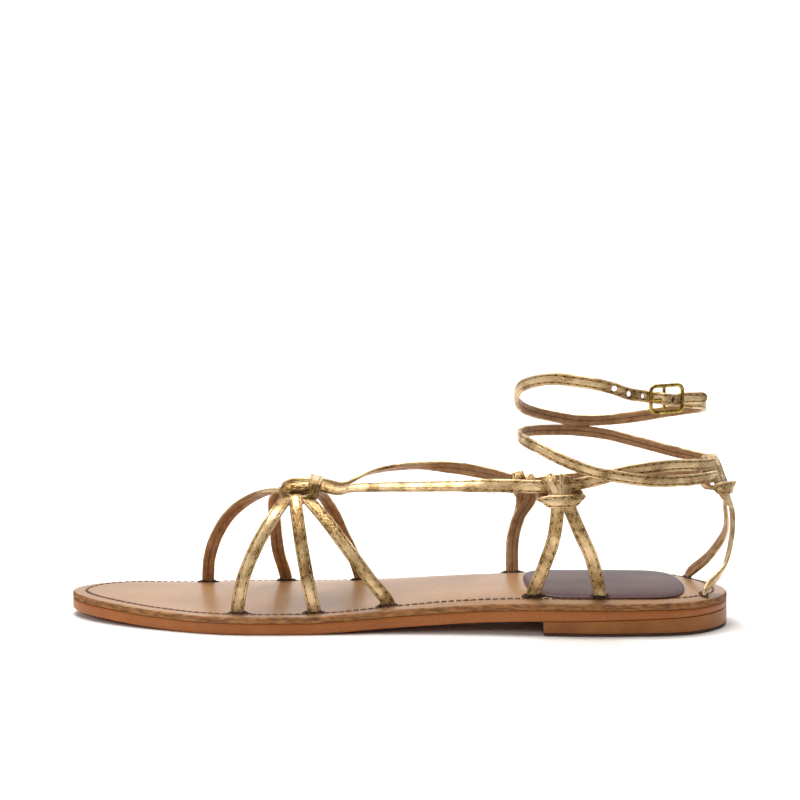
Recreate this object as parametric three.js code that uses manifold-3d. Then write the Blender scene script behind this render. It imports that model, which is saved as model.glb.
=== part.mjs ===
// Flat strappy gladiator sandal for a left foot, in millimetres.
// x runs from toe to heel, y from the outer side to the inner side, z up from the floor.
import * as THREE from 'three';
import { mergeVertices } from 'three/addons/utils/BufferGeometryUtils.js';
import Module from 'manifold-3d';

const wasm = await Module();
wasm.setup();

// Sole sizes
const SOLE_LENGTH = 251;
const BALL_WIDTH = 77;
const WAIST_WIDTH = 58;
const HEEL_WIDTH = 61.5;
const OUTSOLE_THICKNESS = 4.2;
const OUTSOLE_REAR_THICKNESS = 2.6;
const INSOLE_THICKNESS = 2.4;
const TOE_SPRING = 2.4;
const HEEL_LIFT = 5.2;
const HEEL_REAR_LIFT = 7.0;
const HEEL_BREAST = 0.715;
const TOP_PIECE_THICKNESS = 1.1;
const BALL_CROWN = 1.4;
const HEEL_CROWN = 3;
const PATCH_THICKNESS = 0.6;
const PATCH_LENGTH = 60;
const PATCH_REAR = 0.933;
const PATCH_INSET = 5.2;
const EDGE_BEVEL = 0.5;
const SEAM_GAP = 0.3;

// Strap sizes
const STRAP_WIDTH = 5;
const ANKLE_STRAP_WIDTH = 4.4;
const STRAP_THICKNESS = 1.6;
const SLIT_INSET = 6.8;
const INNER_SLIT_INSET = 5.4;
const SLIT_CLEARANCE = 0.4;
const SLIT_DEPTH_BELOW = 1;
const VAMP_HEIGHT = 48.5;
const SIDE_KNOT_HEIGHT = 55;
const ANKLE_LOOP_HEIGHT = 71;
const BUCKLE_LOOP_RISE = 20.5;

// Buckle sizes
const BUCKLE_LENGTH = 15.6;
const BUCKLE_HEIGHT = 11;
const BUCKLE_WIRE = 1.4;
const BUCKLE_CORNER = 2.2;
const PRONG_WIRE = 1.2;
const FOLD_THICKNESS = 1.2;
const HOLE_DIAMETER = 2;
const HOLE_PITCH = 5.8;
const METAL_CLEARANCE = 0.35;
const TONGUE_LENGTH = 20.8;
const TAIL_LENGTH = 14;

// Plan of the sole. The rows stand at equal steps of a half turn, which rounds the toe and the heel.
// half is a share of the width named in the row, swing is the middle's offset as a share of the ball.
const PLAN = [
  { width: BALL_WIDTH, half: 0, swing: 0.195 },
  { width: BALL_WIDTH, half: 0.148, swing: 0.2 },
  { width: BALL_WIDTH, half: 0.278, swing: 0.182 },
  { width: BALL_WIDTH, half: 0.385, swing: 0.145 },
  { width: BALL_WIDTH, half: 0.479, swing: 0.122 },
  { width: BALL_WIDTH, half: 0.484, swing: 0.12 },
  { width: WAIST_WIDTH, half: 0.54, swing: 0.077 },
  { width: WAIST_WIDTH, half: 0.497, swing: 0.03 },
  { width: HEEL_WIDTH, half: 0.497, swing: 0 },
  { width: HEEL_WIDTH, half: 0.49, swing: -0.006 },
  { width: HEEL_WIDTH, half: 0.425, swing: -0.009 },
  { width: HEEL_WIDTH, half: 0.246, swing: -0.002 },
  { width: HEEL_WIDTH, half: 0, swing: 0 },
];

// Underside of the outsole: spring is a share of the toe spring, lift a share of the heel's lift.
const UNDERSIDE = [
  { along: 0, spring: 1, lift: 0 },
  { along: 0.07, spring: 0.62, lift: 0 },
  { along: 0.14, spring: 0.22, lift: 0 },
  { along: 0.21, spring: 0, lift: 0 },
  { along: 0.36, spring: 0, lift: 0 },
  { along: 0.42, spring: 0, lift: 0.13 },
  { along: 0.48, spring: 0, lift: 0.33 },
  { along: 0.54, spring: 0, lift: 0.53 },
  { along: 0.6, spring: 0, lift: 0.74 },
  { along: 0.66, spring: 0, lift: 0.9 },
  { along: HEEL_BREAST, spring: 0, lift: 1 },
];

// Crown of the footbed along the sole, as shares of the ball's crown and of the heel's.
const PADDING = [
  { along: 0, ball: 0, heel: 0 },
  { along: 0.1, ball: 1, heel: 0 },
  { along: 0.38, ball: 1, heel: 0.05 },
  { along: 0.6, ball: 0, heel: 1 },
  { along: 0.88, ball: 0, heel: 1 },
  { along: 1, ball: 0, heel: 0 },
];

// The crown across the sole, from its outer edge to its inner edge.
const CROWN = [
  { across: -1, ball: 0, heel: 0 },
  { across: -0.8, ball: 0.12, heel: 0.42 },
  { across: -0.4, ball: 0.45, heel: 0.82 },
  { across: 0.1, ball: 0.85, heel: 1 },
  { across: 0.55, ball: 1, heel: 1 },
  { across: 0.84, ball: 0.75, heel: 0.76 },
  { across: 1, ball: 0, heel: 0 },
];

const LATERAL = -1;
const MEDIAL = 1;

// Smooth curve through equally spaced values, at a share from 0 to 1.
function evenCurve(values, share) {
  const place = share * (values.length - 1);
  const i = Math.min(Math.floor(place), values.length - 2);
  const f = place - i;
  const before = i > 0 ? values[i - 1] : 2 * values[0] - values[1];
  const last = values.length - 1;
  const after = i + 2 <= last ? values[i + 2] : 2 * values[last] - values[last - 1];
  const rise = (values[i + 1] - before) / 2;
  const fall = (after - values[i]) / 2;
  const step = values[i] - values[i + 1];
  return values[i] + f * (rise + f * (-3 * step - 2 * rise - fall + f * (2 * step + rise + fall)));
}

// Smooth curve through the named column of a table, which never passes beyond its rows.
function tableCurve(rows, name, place, key = 'along') {
  const slopes = rows.slice(1).map((row, i) => (row[name] - rows[i][name]) / (row[key] - rows[i][key]));
  const tangent = (i) => {
    const left = slopes[i - 1] ?? slopes[0];
    const right = slopes[i] ?? slopes[slopes.length - 1];
    return left * right > 0 ? (2 * left * right) / (left + right) : 0;
  };
  let i = 0;
  while (i < rows.length - 2 && place > rows[i + 1][key]) i += 1;
  const span = rows[i + 1][key] - rows[i][key];
  const f = Math.min(Math.max((place - rows[i][key]) / span, 0), 1);
  const ease = f * f * (3 - 2 * f);
  const bend = f * (1 - f) * span * ((1 - f) * tangent(i) - f * tangent(i + 1));
  return rows[i][name] * (1 - ease) + rows[i + 1][name] * ease + bend;
}

// Plan of the sole at a share of its length.
const turnOf = (along) => Math.acos(1 - 2 * Math.min(Math.max(along, 0), 1)) / Math.PI;
const halfWidth = (along) => evenCurve(PLAN.map((row) => row.half * row.width), turnOf(along));
const centreLine = (along) => evenCurve(PLAN.map((row) => row.swing * BALL_WIDTH), turnOf(along));
const edgeLine = (along, side) => centreLine(along) + side * halfWidth(along);

// Heights of the sole's layers at a share of its length.
function heelShare(along) {
  return Math.max(0, (along - HEEL_BREAST) / (1 - HEEL_BREAST));
}

function undersideHeight(along) {
  const front = Math.min(along, HEEL_BREAST);
  const spring = TOE_SPRING * tableCurve(UNDERSIDE, 'spring', front);
  const lift = HEEL_LIFT * tableCurve(UNDERSIDE, 'lift', front);
  return spring + lift + (HEEL_REAR_LIFT - HEEL_LIFT) * heelShare(along);
}

function outsoleTop(along) {
  const thinning = (OUTSOLE_THICKNESS - OUTSOLE_REAR_THICKNESS) * heelShare(along);
  return undersideHeight(along) + OUTSOLE_THICKNESS - thinning;
}

function footbedHeight(along, across) {
  const ball = BALL_CROWN * tableCurve(PADDING, 'ball', along) * tableCurve(CROWN, 'ball', across, 'across');
  const heel = HEEL_CROWN * tableCurve(PADDING, 'heel', along) * tableCurve(CROWN, 'heel', across, 'across');
  return outsoleTop(along) + INSOLE_THICKNESS + ball + heel;
}

// Closed solid of a mesh given as corner points and triangles.
function solidOf(points, triangles) {
  const geometry = new THREE.BufferGeometry();
  const values = points.flatMap((p) => [p.x, p.y, p.z]);
  geometry.setAttribute('position', new THREE.Float32BufferAttribute(values, 3));
  geometry.setIndex(triangles.flat());
  return manifoldOf(geometry);
}

// Closed solid of a three.js geometry, with shared corners merged and empty triangles left out.
function manifoldOf(geometry) {
  geometry.deleteAttribute('normal');
  geometry.deleteAttribute('uv');
  const merged = mergeVertices(geometry, 1e-4);
  const index = merged.index.array;
  const kept = [];
  for (let i = 0; i < index.length; i += 3) {
    const [a, b, c] = [index[i], index[i + 1], index[i + 2]];
    if (a !== b && b !== c && c !== a) kept.push(a, b, c);
  }
  return new wasm.Manifold(new wasm.Mesh({
    numProp: 3,
    vertProperties: new Float32Array(merged.attributes.position.array),
    triVerts: new Uint32Array(kept),
  }));
}

// Layer between two surfaces over a plan given by shares along and across.
function layer(turns, shares, plan, low, high) {
  const points = [];
  for (const height of [low, high]) {
    for (const turn of turns) {
      for (const across of shares) {
        const { x, y, along } = plan(turn, across);
        points.push(new THREE.Vector3(x, y, height(along, across, y)));
      }
    }
  }
  const wide = shares.length;
  const count = turns.length * wide;
  const triangles = [];
  const quad = (a, b, c, d) => triangles.push([a, b, c], [a, c, d]);
  for (let i = 0; i < turns.length - 1; i += 1) {
    for (let j = 0; j < wide - 1; j += 1) {
      const a = i * wide + j;
      quad(a, a + 1, a + wide + 1, a + wide);
      quad(count + a, count + a + wide, count + a + wide + 1, count + a + 1);
    }
    const near = i * wide;
    const far = near + wide - 1;
    quad(near, near + wide, count + near + wide, count + near);
    quad(far, count + far, count + far + wide, far + wide);
  }
  for (let j = 0; j < wide - 1; j += 1) {
    const rear = (turns.length - 1) * wide + j;
    quad(j, count + j, count + j + 1, j + 1);
    quad(rear, rear + 1, count + rear + 1, count + rear);
  }
  return solidOf(points, triangles);
}

function evenly(from, to, steps) {
  return Array.from({ length: steps + 1 }, (_, i) => from + ((to - from) * i) / steps);
}

// Plan of the sole at a half turn's share, so that stations crowd towards the rounded ends.
function solePlan(turn, across) {
  const along = (1 - Math.cos(Math.PI * turn)) / 2;
  return { x: along * SOLE_LENGTH, y: centreLine(along) + across * halfWidth(along), along };
}

// Shares across a layer, with a narrow strip at each edge for its bevel.
const ACROSS = [-1, -0.97, 0, 0.97, 1];
const FOOTBED_ACROSS = [-1, -0.97, -0.76, -0.4, 0.3, 0.8, 0.97, 1];
const atEdge = (across) => (Math.abs(across) === 1 ? 1 : 0);
const SOLE_STATIONS = 34;
const TIP = 0.01;

function makeOutsole() {
  return layer(evenly(TIP, 1 - TIP, SOLE_STATIONS), ACROSS, solePlan,
    (along, across) => undersideHeight(along) + EDGE_BEVEL * atEdge(across) * (along < HEEL_BREAST ? 1 : 0),
    (along) => outsoleTop(along));
}

function makeInsole() {
  return layer(evenly(TIP, 1 - TIP, SOLE_STATIONS), FOOTBED_ACROSS, solePlan,
    (along) => outsoleTop(along) + SEAM_GAP,
    (along, across) => footbedHeight(along, across) - EDGE_BEVEL * atEdge(across));
}

const heelTurns = evenly(turnOf(HEEL_BREAST), 1 - TIP, 14);

function makeHeelBlock() {
  return layer(heelTurns, ACROSS, solePlan,
    () => TOP_PIECE_THICKNESS + SEAM_GAP,
    (along) => undersideHeight(along) - SEAM_GAP);
}

function makeTopPiece() {
  return layer(heelTurns, ACROSS, solePlan,
    (along, across) => EDGE_BEVEL * atEdge(across),
    () => TOP_PIECE_THICKNESS);
}

// Plan of the heel patch, an oblong between the heel's sides, rounded at its ends.
const PATCH_ACROSS = [-1, -0.94, -0.5, 0.3, 0.94, 1];
const PATCH_SQUARENESS = 6;
const PATCH_CORNER = 2.4;

function patchPlan(turn, across) {
  const along = PATCH_REAR - (PATCH_LENGTH / SOLE_LENGTH) * (1 + Math.cos(Math.PI * turn)) / 2;
  const bend = Math.abs(Math.cos(Math.PI * turn));
  const rounding = (1 - bend ** PATCH_SQUARENESS) ** (1 / PATCH_CORNER);
  const half = (HEEL_WIDTH / 2 - PATCH_INSET) * rounding;
  return { x: along * SOLE_LENGTH, y: centreLine(along) + across * half, along };
}

function patchSeat(along, y) {
  return footbedHeight(along, (y - centreLine(along)) / halfWidth(along)) + SEAM_GAP;
}

function makeHeelPatch() {
  return layer(evenly(TIP, 1 - TIP, 18), PATCH_ACROSS, patchPlan,
    (along, across, y) => patchSeat(along, y),
    (along, across, y) => patchSeat(along, y) + PATCH_THICKNESS * (1 - atEdge(across) / 2));
}

// Section of a folded strap, with its long edges drawn in.
function strapSection(width, thickness) {
  const side = width / 2;
  const flat = side - thickness * 0.3;
  const face = thickness / 2;
  return [[side, 0], [flat, face], [-flat, face], [-side, 0], [-flat, -face], [flat, -face]];
}

// Section of a round wire.
const WIRE_SIDES = 8;
const EYE_STEPS = 14;

function wireSection(diameter, sides) {
  return evenly(0, 1 - 1 / sides, sides - 1).map((share) => {
    const angle = 2 * Math.PI * share;
    return [(Math.cos(angle) * diameter) / 2, (Math.sin(angle) * diameter) / 2];
  });
}

// Solid swept along stations that each hold a centre, a side direction, a face direction and a section.
function sweep(stations, closed = false) {
  const points = [];
  const sides = stations[0].section.length;
  for (const { centre, side, face, section } of stations) {
    for (const [s, f] of section) {
      points.push(centre.clone().addScaledVector(side, s).addScaledVector(face, f));
    }
  }
  const triangles = [];
  const rings = closed ? stations.length : stations.length - 1;
  for (let i = 0; i < rings; i += 1) {
    const here = i * sides;
    const next = ((i + 1) % stations.length) * sides;
    for (let k = 0; k < sides; k += 1) {
      const l = (k + 1) % sides;
      triangles.push([here + k, here + l, next + l], [here + k, next + l, next + k]);
    }
  }
  if (!closed) {
    const last = (stations.length - 1) * sides;
    for (let k = 1; k < sides - 1; k += 1) {
      triangles.push([0, k + 1, k], [last, last + k, last + k + 1]);
    }
  }
  return solidOf(points, triangles);
}

// Stations of a strap along rows of a centre point, the way its outer face looks and its width share.
// They stand closer where the strap bends or turns.
const LONGEST_STEP = 13;
const SHARPEST_TURN = 0.5;

function ribbonStations(rows, width, thickness) {
  const curve = new THREE.CatmullRomCurve3(rows.map((row) => row.at), false, 'centripetal');
  const fine = evenly(0, 1, Math.ceil(curve.getLength() / 0.6)).map((share) => {
    const t = curve.getUtoTmapping(share);
    const place = t * (rows.length - 1);
    const i = Math.min(Math.floor(place), rows.length - 2);
    const f = place - i;
    const along = curve.getTangent(t).normalize();
    const face = rows[i].face.clone().lerp(rows[i + 1].face, f);
    face.addScaledVector(along, -face.dot(along)).normalize();
    const side = new THREE.Vector3().crossVectors(face, along).normalize();
    const wide = (rows[i].wide ?? 1) * (1 - f) + (rows[i + 1].wide ?? 1) * f;
    return { centre: curve.getPoint(t), side, face, along, section: strapSection(width * wide, thickness) };
  });
  const kept = [fine[0]];
  for (const station of fine.slice(1, -1)) {
    const last = kept[kept.length - 1];
    const turn = last.along.angleTo(station.along) + last.face.angleTo(station.face);
    if (turn > SHARPEST_TURN || last.centre.distanceTo(station.centre) > LONGEST_STEP) kept.push(station);
  }
  return [...kept, fine[fine.length - 1]];
}

function ribbon(rows, width = STRAP_WIDTH, thickness = STRAP_THICKNESS) {
  return sweep(ribbonStations(rows, width, thickness));
}

// Width of the loops round the ankle as a share of the other straps' width.
const LOOP_SHARE = ANKLE_STRAP_WIDTH / STRAP_WIDTH;

// The way a strap's outer face looks: away from the middle of the foot or of the ankle.
const UP = new THREE.Vector3(0, 0, 1);
const OUTWARD = new THREE.Vector3(0, -1, 0);
const INWARD = new THREE.Vector3(0, 1, 0);

function fromFoot(at) {
  const along = at.x / SOLE_LENGTH;
  const middle = new THREE.Vector3(at.x, centreLine(along), VAMP_HEIGHT * 0.45);
  return at.clone().sub(middle).normalize();
}

function fromAnkle(at) {
  return at.clone().sub(new THREE.Vector3(SOLE_LENGTH * 0.825, 0, at.z)).normalize();
}

// Points of the upper: along the sole, across in ball or heel widths, up in the named height.
const fore = (along, across, up) => new THREE.Vector3(
  along * SOLE_LENGTH, across * BALL_WIDTH, up * VAMP_HEIGHT);
const side = (along, across, up) => new THREE.Vector3(
  along * SOLE_LENGTH, across * HEEL_WIDTH, up * SIDE_KNOT_HEIGHT);
const ankle = (along, across, up) => new THREE.Vector3(
  along * SOLE_LENGTH, across * HEEL_WIDTH, up * ANKLE_LOOP_HEIGHT);
const facing = (points, look) => points.map((at) => ({ at, face: look(at) }));

// Foot of a strap: it goes down through a slit of the insole and stops on the outsole.
function strapFoot(along, side, look, inset = side === LATERAL ? SLIT_INSET : INNER_SLIT_INSET) {
  const y = edgeLine(along, side) - side * inset;
  const low = outsoleTop(along) + SEAM_GAP;
  const high = low + INSOLE_THICKNESS + HEEL_CROWN / 2;
  return [low, high].map((z) => ({ at: new THREE.Vector3(along * SOLE_LENGTH, y, z), face: look }));
}

// Toe straps, each from its outer slit over the foot to its inner slit.
function toeStraps() {
  const front = [
    [0.274, -0.272, 0.38], [0.286, -0.262, 0.553], [0.302, -0.235, 0.724], [0.318, -0.19, 0.857],
    [0.33, -0.1, 0.94], [0.341, 0.06, 0.99],
    [0.313, 0.2, 0.985], [0.272, 0.325, 0.89], [0.237, 0.41, 0.74], [0.214, 0.455, 0.55],
    [0.202, 0.475, 0.36],
  ];
  const middle = [
    [0.373, -0.275, 0.32], [0.364, -0.24, 0.55], [0.356, -0.175, 0.77], [0.349, -0.05, 0.96],
    [0.349, 0.07, 1.02], [0.327, 0.18, 1.0], [0.311, 0.28, 0.9], [0.309, 0.41, 0.66], [0.312, 0.455, 0.44],
  ];
  const rear = [
    [0.463, -0.265, 0.39], [0.432, -0.235, 0.6], [0.397, -0.15, 0.82], [0.366, -0.02, 0.97],
    [0.36, 0.08, 1.0], [0.372, 0.19, 0.985], [0.387, 0.3, 0.905], [0.402, 0.39, 0.75],
    [0.417, 0.435, 0.56], [0.432, 0.455, 0.38],
  ];
  const straps = [
    { from: 0.267, to: 0.199, rows: front },
    { from: 0.379, to: 0.323, rows: middle },
    { from: 0.488, to: 0.443, rows: rear },
  ];
  return straps.map(({ from, to, rows }) => [
    ...strapFoot(from, LATERAL, OUTWARD),
    ...facing(rows.map((row) => fore(...row)), fromFoot),
    ...strapFoot(to, MEDIAL, INWARD).reverse(),
  ]);
}

// Lark's head: a strap doubled over a rail, with its bight as a bar across its own two legs.
// along, out and up are the rail's own directions, high and deep its half sizes up and out.
// spread is how far its legs stand apart, splay how much they part over the rail and reach the bar's
// half length.
function larksHead({ centre, along, out, up, high, deep, spread, splay = 1, reach, legs }) {
  const w = STRAP_WIDTH;
  const t = STRAP_THICKNESS;
  const lie = deep + t / 2;
  const at = (a, b, c) => centre.clone()
    .addScaledVector(along, a).addScaledVector(out, b).addScaledVector(up, c);
  const look = (b, c) => out.clone().multiplyScalar(b).addScaledVector(up, c).normalize();
  return [LATERAL, MEDIAL].map((hand, i) => [
    ...legs[i],
    { at: at(hand * spread * w, lie + 0.3 * t, -high - 0.55 * w), face: look(1, 0) },
    { at: at(hand * spread * w, lie + 0.1 * t, -high * 0.3), face: look(1, 0) },
    { at: at(hand * (spread + 0.16 * splay) * w, lie - 0.1 * t, high * 0.7), face: look(1, 0.25) },
    { at: at(hand * (spread + 0.32 * splay) * w, 0, high + 0.75 * t), face: look(0, 1) },
    { at: at(hand * (spread + 0.42 * splay) * w, -lie, high * 0.6), face: look(-1, 0.2) },
    { at: at(hand * (0.5 * spread + 0.55 * reach) * w, -lie, -high * 0.5), face: look(-1, -0.2), wide: 0.85 },
    { at: at(hand * 0.93 * reach * w, -0.3 * t, -high - 0.35 * w), face: look(0, -1), wide: 0.7 },
    { at: at(hand * 0.86 * reach * w, lie + 0.7 * t, -high - 0.4 * w), face: look(0.75, -0.65), wide: 0.75 },
    { at: at(hand * 0.5 * reach * w, lie + 1.3 * t, -high - 0.48 * w), face: look(1, 0) },
    { at: at(0, lie + 1.4 * t, -high - 0.5 * w), face: look(1, 0) },
    { at: at(-hand * 0.1 * reach * w, lie + 1.4 * t, -high - 0.5 * w), face: look(1, 0) },
  ]);
}

// Instep and ankle strap: over both sides of the instep, round the heel and round the ankle.
function instepRuns() {
  const outer = [
    ...facing([fore(0.4, -0.03, 1.045), fore(0.432, -0.085, 1.06), fore(0.476, -0.155, 1.084),
      fore(0.535, -0.247, 1.107), fore(0.593, -0.318, 1.126)], fromFoot),
    { at: side(0.651, -0.455, 1.003), face: OUTWARD },
    { at: side(0.697, -0.495, 1.003), face: OUTWARD },
    { at: side(0.735, -0.505, 1.003), face: OUTWARD },
    { at: side(0.77, -0.515, 1.03), face: OUTWARD, wide: LOOP_SHARE },
  ];
  const inner = [
    ...facing([fore(0.4, 0.15, 1.03), fore(0.424, 0.195, 1.045), fore(0.464, 0.28, 1.12),
      fore(0.538, 0.375, 1.15)], fromFoot),
    { at: side(0.595, 0.5, 0.992), face: INWARD },
    { at: side(0.65, 0.505, 0.945), face: INWARD },
    { at: side(0.702, 0.505, 0.88), face: INWARD },
    { at: side(0.75, 0.51, 0.905), face: INWARD, wide: LOOP_SHARE },
  ];
  return { outer, inner };
}

function ankleLoop() {
  const rows = [
    [0.792, -0.5, 0.813], [0.826, -0.495, 0.85], [0.862, -0.47, 0.868], [0.896, -0.415, 0.876],
    [0.931, -0.32, 0.87], [0.961, -0.18, 0.857], [0.98, -0.02, 0.852], [0.971, 0.12, 0.858],
    [0.951, 0.235, 0.868], [0.922, 0.345, 0.885], [0.88, 0.45, 0.918], [0.832, 0.5, 0.957],
    [0.784, 0.49, 0.98], [0.737, 0.385, 0.992], [0.701, 0.2, 1.0], [0.686, 0.0, 1.0],
    [0.689, -0.2, 0.988], [0.709, -0.39, 0.962], [0.741, -0.495, 0.912], [0.782, -0.545, 0.86],
    [0.825, -0.545, 0.829], [0.87, -0.505, 0.807], [0.92, -0.385, 0.797], [0.958, -0.24, 0.794],
    [0.983, -0.05, 0.788], [0.981, 0.1, 0.785], [0.958, 0.25, 0.78], [0.916, 0.385, 0.765],
    [0.857, 0.47, 0.745], [0.797, 0.505, 0.72],
  ];
  return facing(rows.map((row) => ankle(...row)), fromAnkle).map((row) => ({ ...row, wide: LOOP_SHARE }));
}

// Side ties and heel tie: each is doubled over its rail and stands in slits of the insole.
function outerKnot() {
  return larksHead({
    centre: side(0.735, -0.505, 1.003),
    along: new THREE.Vector3(0.99, -0.03, 0.05).normalize(),
    out: OUTWARD,
    up: new THREE.Vector3(-0.22, 0, 1).normalize(),
    high: STRAP_WIDTH / 2,
    deep: STRAP_THICKNESS / 2,
    spread: 0.36,
    reach: 1.55,
    legs: [
      [...strapFoot(0.701, LATERAL, OUTWARD), { at: side(0.716, -0.455, 0.47), face: OUTWARD },
        { at: side(0.729, -0.505, 0.68), face: OUTWARD }],
      [...strapFoot(0.799, LATERAL, OUTWARD), { at: side(0.784, -0.465, 0.52), face: OUTWARD },
        { at: side(0.768, -0.505, 0.68), face: OUTWARD }],
    ],
  });
}

// The inner tie's two strands stand one behind the other.
function innerKnot() {
  const behind = INNER_SLIT_INSET - STRAP_THICKNESS / 2;
  const before = behind + 0.9 * STRAP_THICKNESS;
  return larksHead({
    centre: side(0.702, 0.505, 0.878),
    along: new THREE.Vector3(1, 0.02, -0.28).normalize(),
    out: INWARD,
    up: new THREE.Vector3(-0.2, 0, 1).normalize(),
    high: STRAP_WIDTH / 2,
    deep: STRAP_THICKNESS / 2,
    spread: 0.36,
    splay: 0.2,
    reach: 1.1,
    legs: [
      [...strapFoot(0.682, MEDIAL, INWARD, behind), { at: side(0.684, 0.495, 0.479), face: INWARD },
        { at: side(0.697, 0.528, 0.68), face: INWARD }],
      [...strapFoot(0.682, MEDIAL, INWARD, before), { at: side(0.684, 0.468, 0.479), face: INWARD },
        { at: side(0.694, 0.497, 0.643), face: INWARD }],
    ],
  });
}

function vampKnot() {
  return larksHead({
    centre: fore(0.352, 0.06, 1.012),
    along: new THREE.Vector3(0, 0.99, 0.08).normalize(),
    out: UP,
    up: new THREE.Vector3(-1, 0, 0),
    high: STRAP_WIDTH * 0.85,
    deep: STRAP_THICKNESS * 0.9,
    spread: 0.72,
    reach: 1.5,
    legs: [
      [{ at: fore(0.415, -0.06, 1.035), face: fromFoot(fore(0.4, -0.05, 1.03)) }],
      [{ at: fore(0.415, 0.18, 1.035), face: fromFoot(fore(0.4, 0.18, 1.03)) }],
    ],
  });
}

function heelKnot() {
  const back = new THREE.Vector3(1, 0, 0);
  const out = new THREE.Vector3(0.72, -0.69, 0).normalize();
  return larksHead({
    centre: ankle(0.974, -0.075, 0.818),
    along: new THREE.Vector3(0.69, 0.72, 0).normalize(),
    out,
    up: new THREE.Vector3(-0.3, 0.2, 0.93).normalize(),
    high: ANKLE_STRAP_WIDTH * 0.95,
    deep: STRAP_THICKNESS * 0.6,
    spread: 0.26,
    splay: 0.3,
    reach: 1.3,
    legs: [
      [...strapFoot(0.956, LATERAL, back), { at: ankle(0.991, -0.14, 0.31), face: back },
        { at: ankle(1.005, -0.08, 0.5), face: back }, { at: ankle(1.003, -0.07, 0.63), face: back }],
      [...strapFoot(0.952, MEDIAL, back), { at: ankle(0.981, 0.18, 0.32), face: back },
        { at: ankle(1.002, 0.08, 0.48), face: back }, { at: ankle(0.998, 0.02, 0.62), face: back }],
    ],
  });
}

// Buckle loop: its strap starts on the buckle's bar, goes round the ankle and comes back through the frame.
// It rests on the ankle loop at the inner side, where the two are joined edge to edge.
const LOOP_SEAT = 0.98 * ANKLE_LOOP_HEIGHT + 0.92 * ANKLE_STRAP_WIDTH;
const loopAt = (along, across, up) => new THREE.Vector3(
  along * SOLE_LENGTH, across * HEEL_WIDTH, LOOP_SEAT + up * BUCKLE_LOOP_RISE);

const BAR_CENTRE = loopAt(0.8865, -0.472, 0.65);
const STRAP_RUN = new THREE.Vector3(0.864, 0.481, -0.153).normalize();
const STRAP_OUT = new THREE.Vector3(0.486, -0.874, 0).normalize();
const STRAP_UP = new THREE.Vector3().crossVectors(STRAP_OUT, STRAP_RUN).normalize();
const byBar = (run, out, up = 0) => BAR_CENTRE.clone()
  .addScaledVector(STRAP_RUN, run).addScaledVector(STRAP_OUT, out).addScaledVector(STRAP_UP, up);

// Buckle frame: its bar stands nearer its front side, and it is tipped up at the rear.
const FRAME_TIP = 0.17;
const BAR_SET_BACK = 1.2;
const FRAME_RUN = STRAP_RUN.clone().multiplyScalar(Math.cos(FRAME_TIP))
  .addScaledVector(STRAP_UP, Math.sin(FRAME_TIP));
const FRAME_UP = new THREE.Vector3().crossVectors(STRAP_OUT, FRAME_RUN).normalize();
const frontSide = BAR_SET_BACK - (BUCKLE_LENGTH - BUCKLE_WIRE) / 2;
const rearSide = BAR_SET_BACK + (BUCKLE_LENGTH - BUCKLE_WIRE) / 2;

// Offsets of the straps from the frame's plane, so that they clear its wires.
const under = -(BUCKLE_WIRE / 2 + METAL_CLEARANCE + STRAP_THICKNESS / 2);
const foldRadius = BUCKLE_WIRE / 2 + METAL_CLEARANCE + FOLD_THICKNESS / 2;
const over = foldRadius + FOLD_THICKNESS / 2 + STRAP_THICKNESS * 0.45;

function buckleLoop() {
  const far = [
    [0.951, -0.18, 0.5], [0.963, -0.01, 0.405], [0.954, 0.18, 0.32], [0.921, 0.345, 0.21],
    [0.879, 0.455, 0.085], [0.832, 0.497, 0.01], [0.784, 0.49, 0.0], [0.736, 0.395, 0.12],
    [0.698, 0.22, 0.29], [0.681, 0.0, 0.53], [0.684, -0.19, 0.79], [0.7, -0.345, 0.925],
    [0.728, -0.475, 1.005], [0.759, -0.53, 0.975], [0.787, -0.555, 0.925], [0.811, -0.556, 0.855],
  ];
  const t = STRAP_THICKNESS;
  const tongue = [
    { run: -0.885 * BUCKLE_LENGTH, out: under - 0.31 * t },
    { run: -0.61 * BUCKLE_LENGTH, out: under - 0.25 * t },
    { run: frontSide, out: under },
    { run: frontSide * 0.5, out: (under + over) / 2 + 0.06 * t },
    { run: -0.56 * t, out: over - 0.22 * t },
    { run: 0.56 * t, out: over },
    { run: 2 * t, out: over - 0.69 * t },
    { run: rearSide - 1.5 * t, out: under + 0.56 * t, up: 0.19 * t },
    { run: rearSide, out: under, up: 0.47 * t },
    { run: rearSide + 2.2 * t, out: under + 0.125 * t, up: 0.94 * t },
    { run: 0.86 * TONGUE_LENGTH, out: under + 0.06 * t, up: 1.44 * t },
    { run: 0.94 * TONGUE_LENGTH, out: under, up: 1.66 * t, wide: 0.85 },
    { run: 0.98 * TONGUE_LENGTH, out: under, up: 1.78 * t, wide: 0.55 },
  ];
  return [
    { at: byBar(TAIL_LENGTH, under - 0.97 * STRAP_THICKNESS), face: STRAP_OUT },
    ...facing(far.map((row) => loopAt(...row)), fromAnkle),
    ...tongue.map(({ run, out, up, wide }) => ({ at: byBar(run, out, up), face: STRAP_OUT, wide })),
  ];
}

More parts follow.
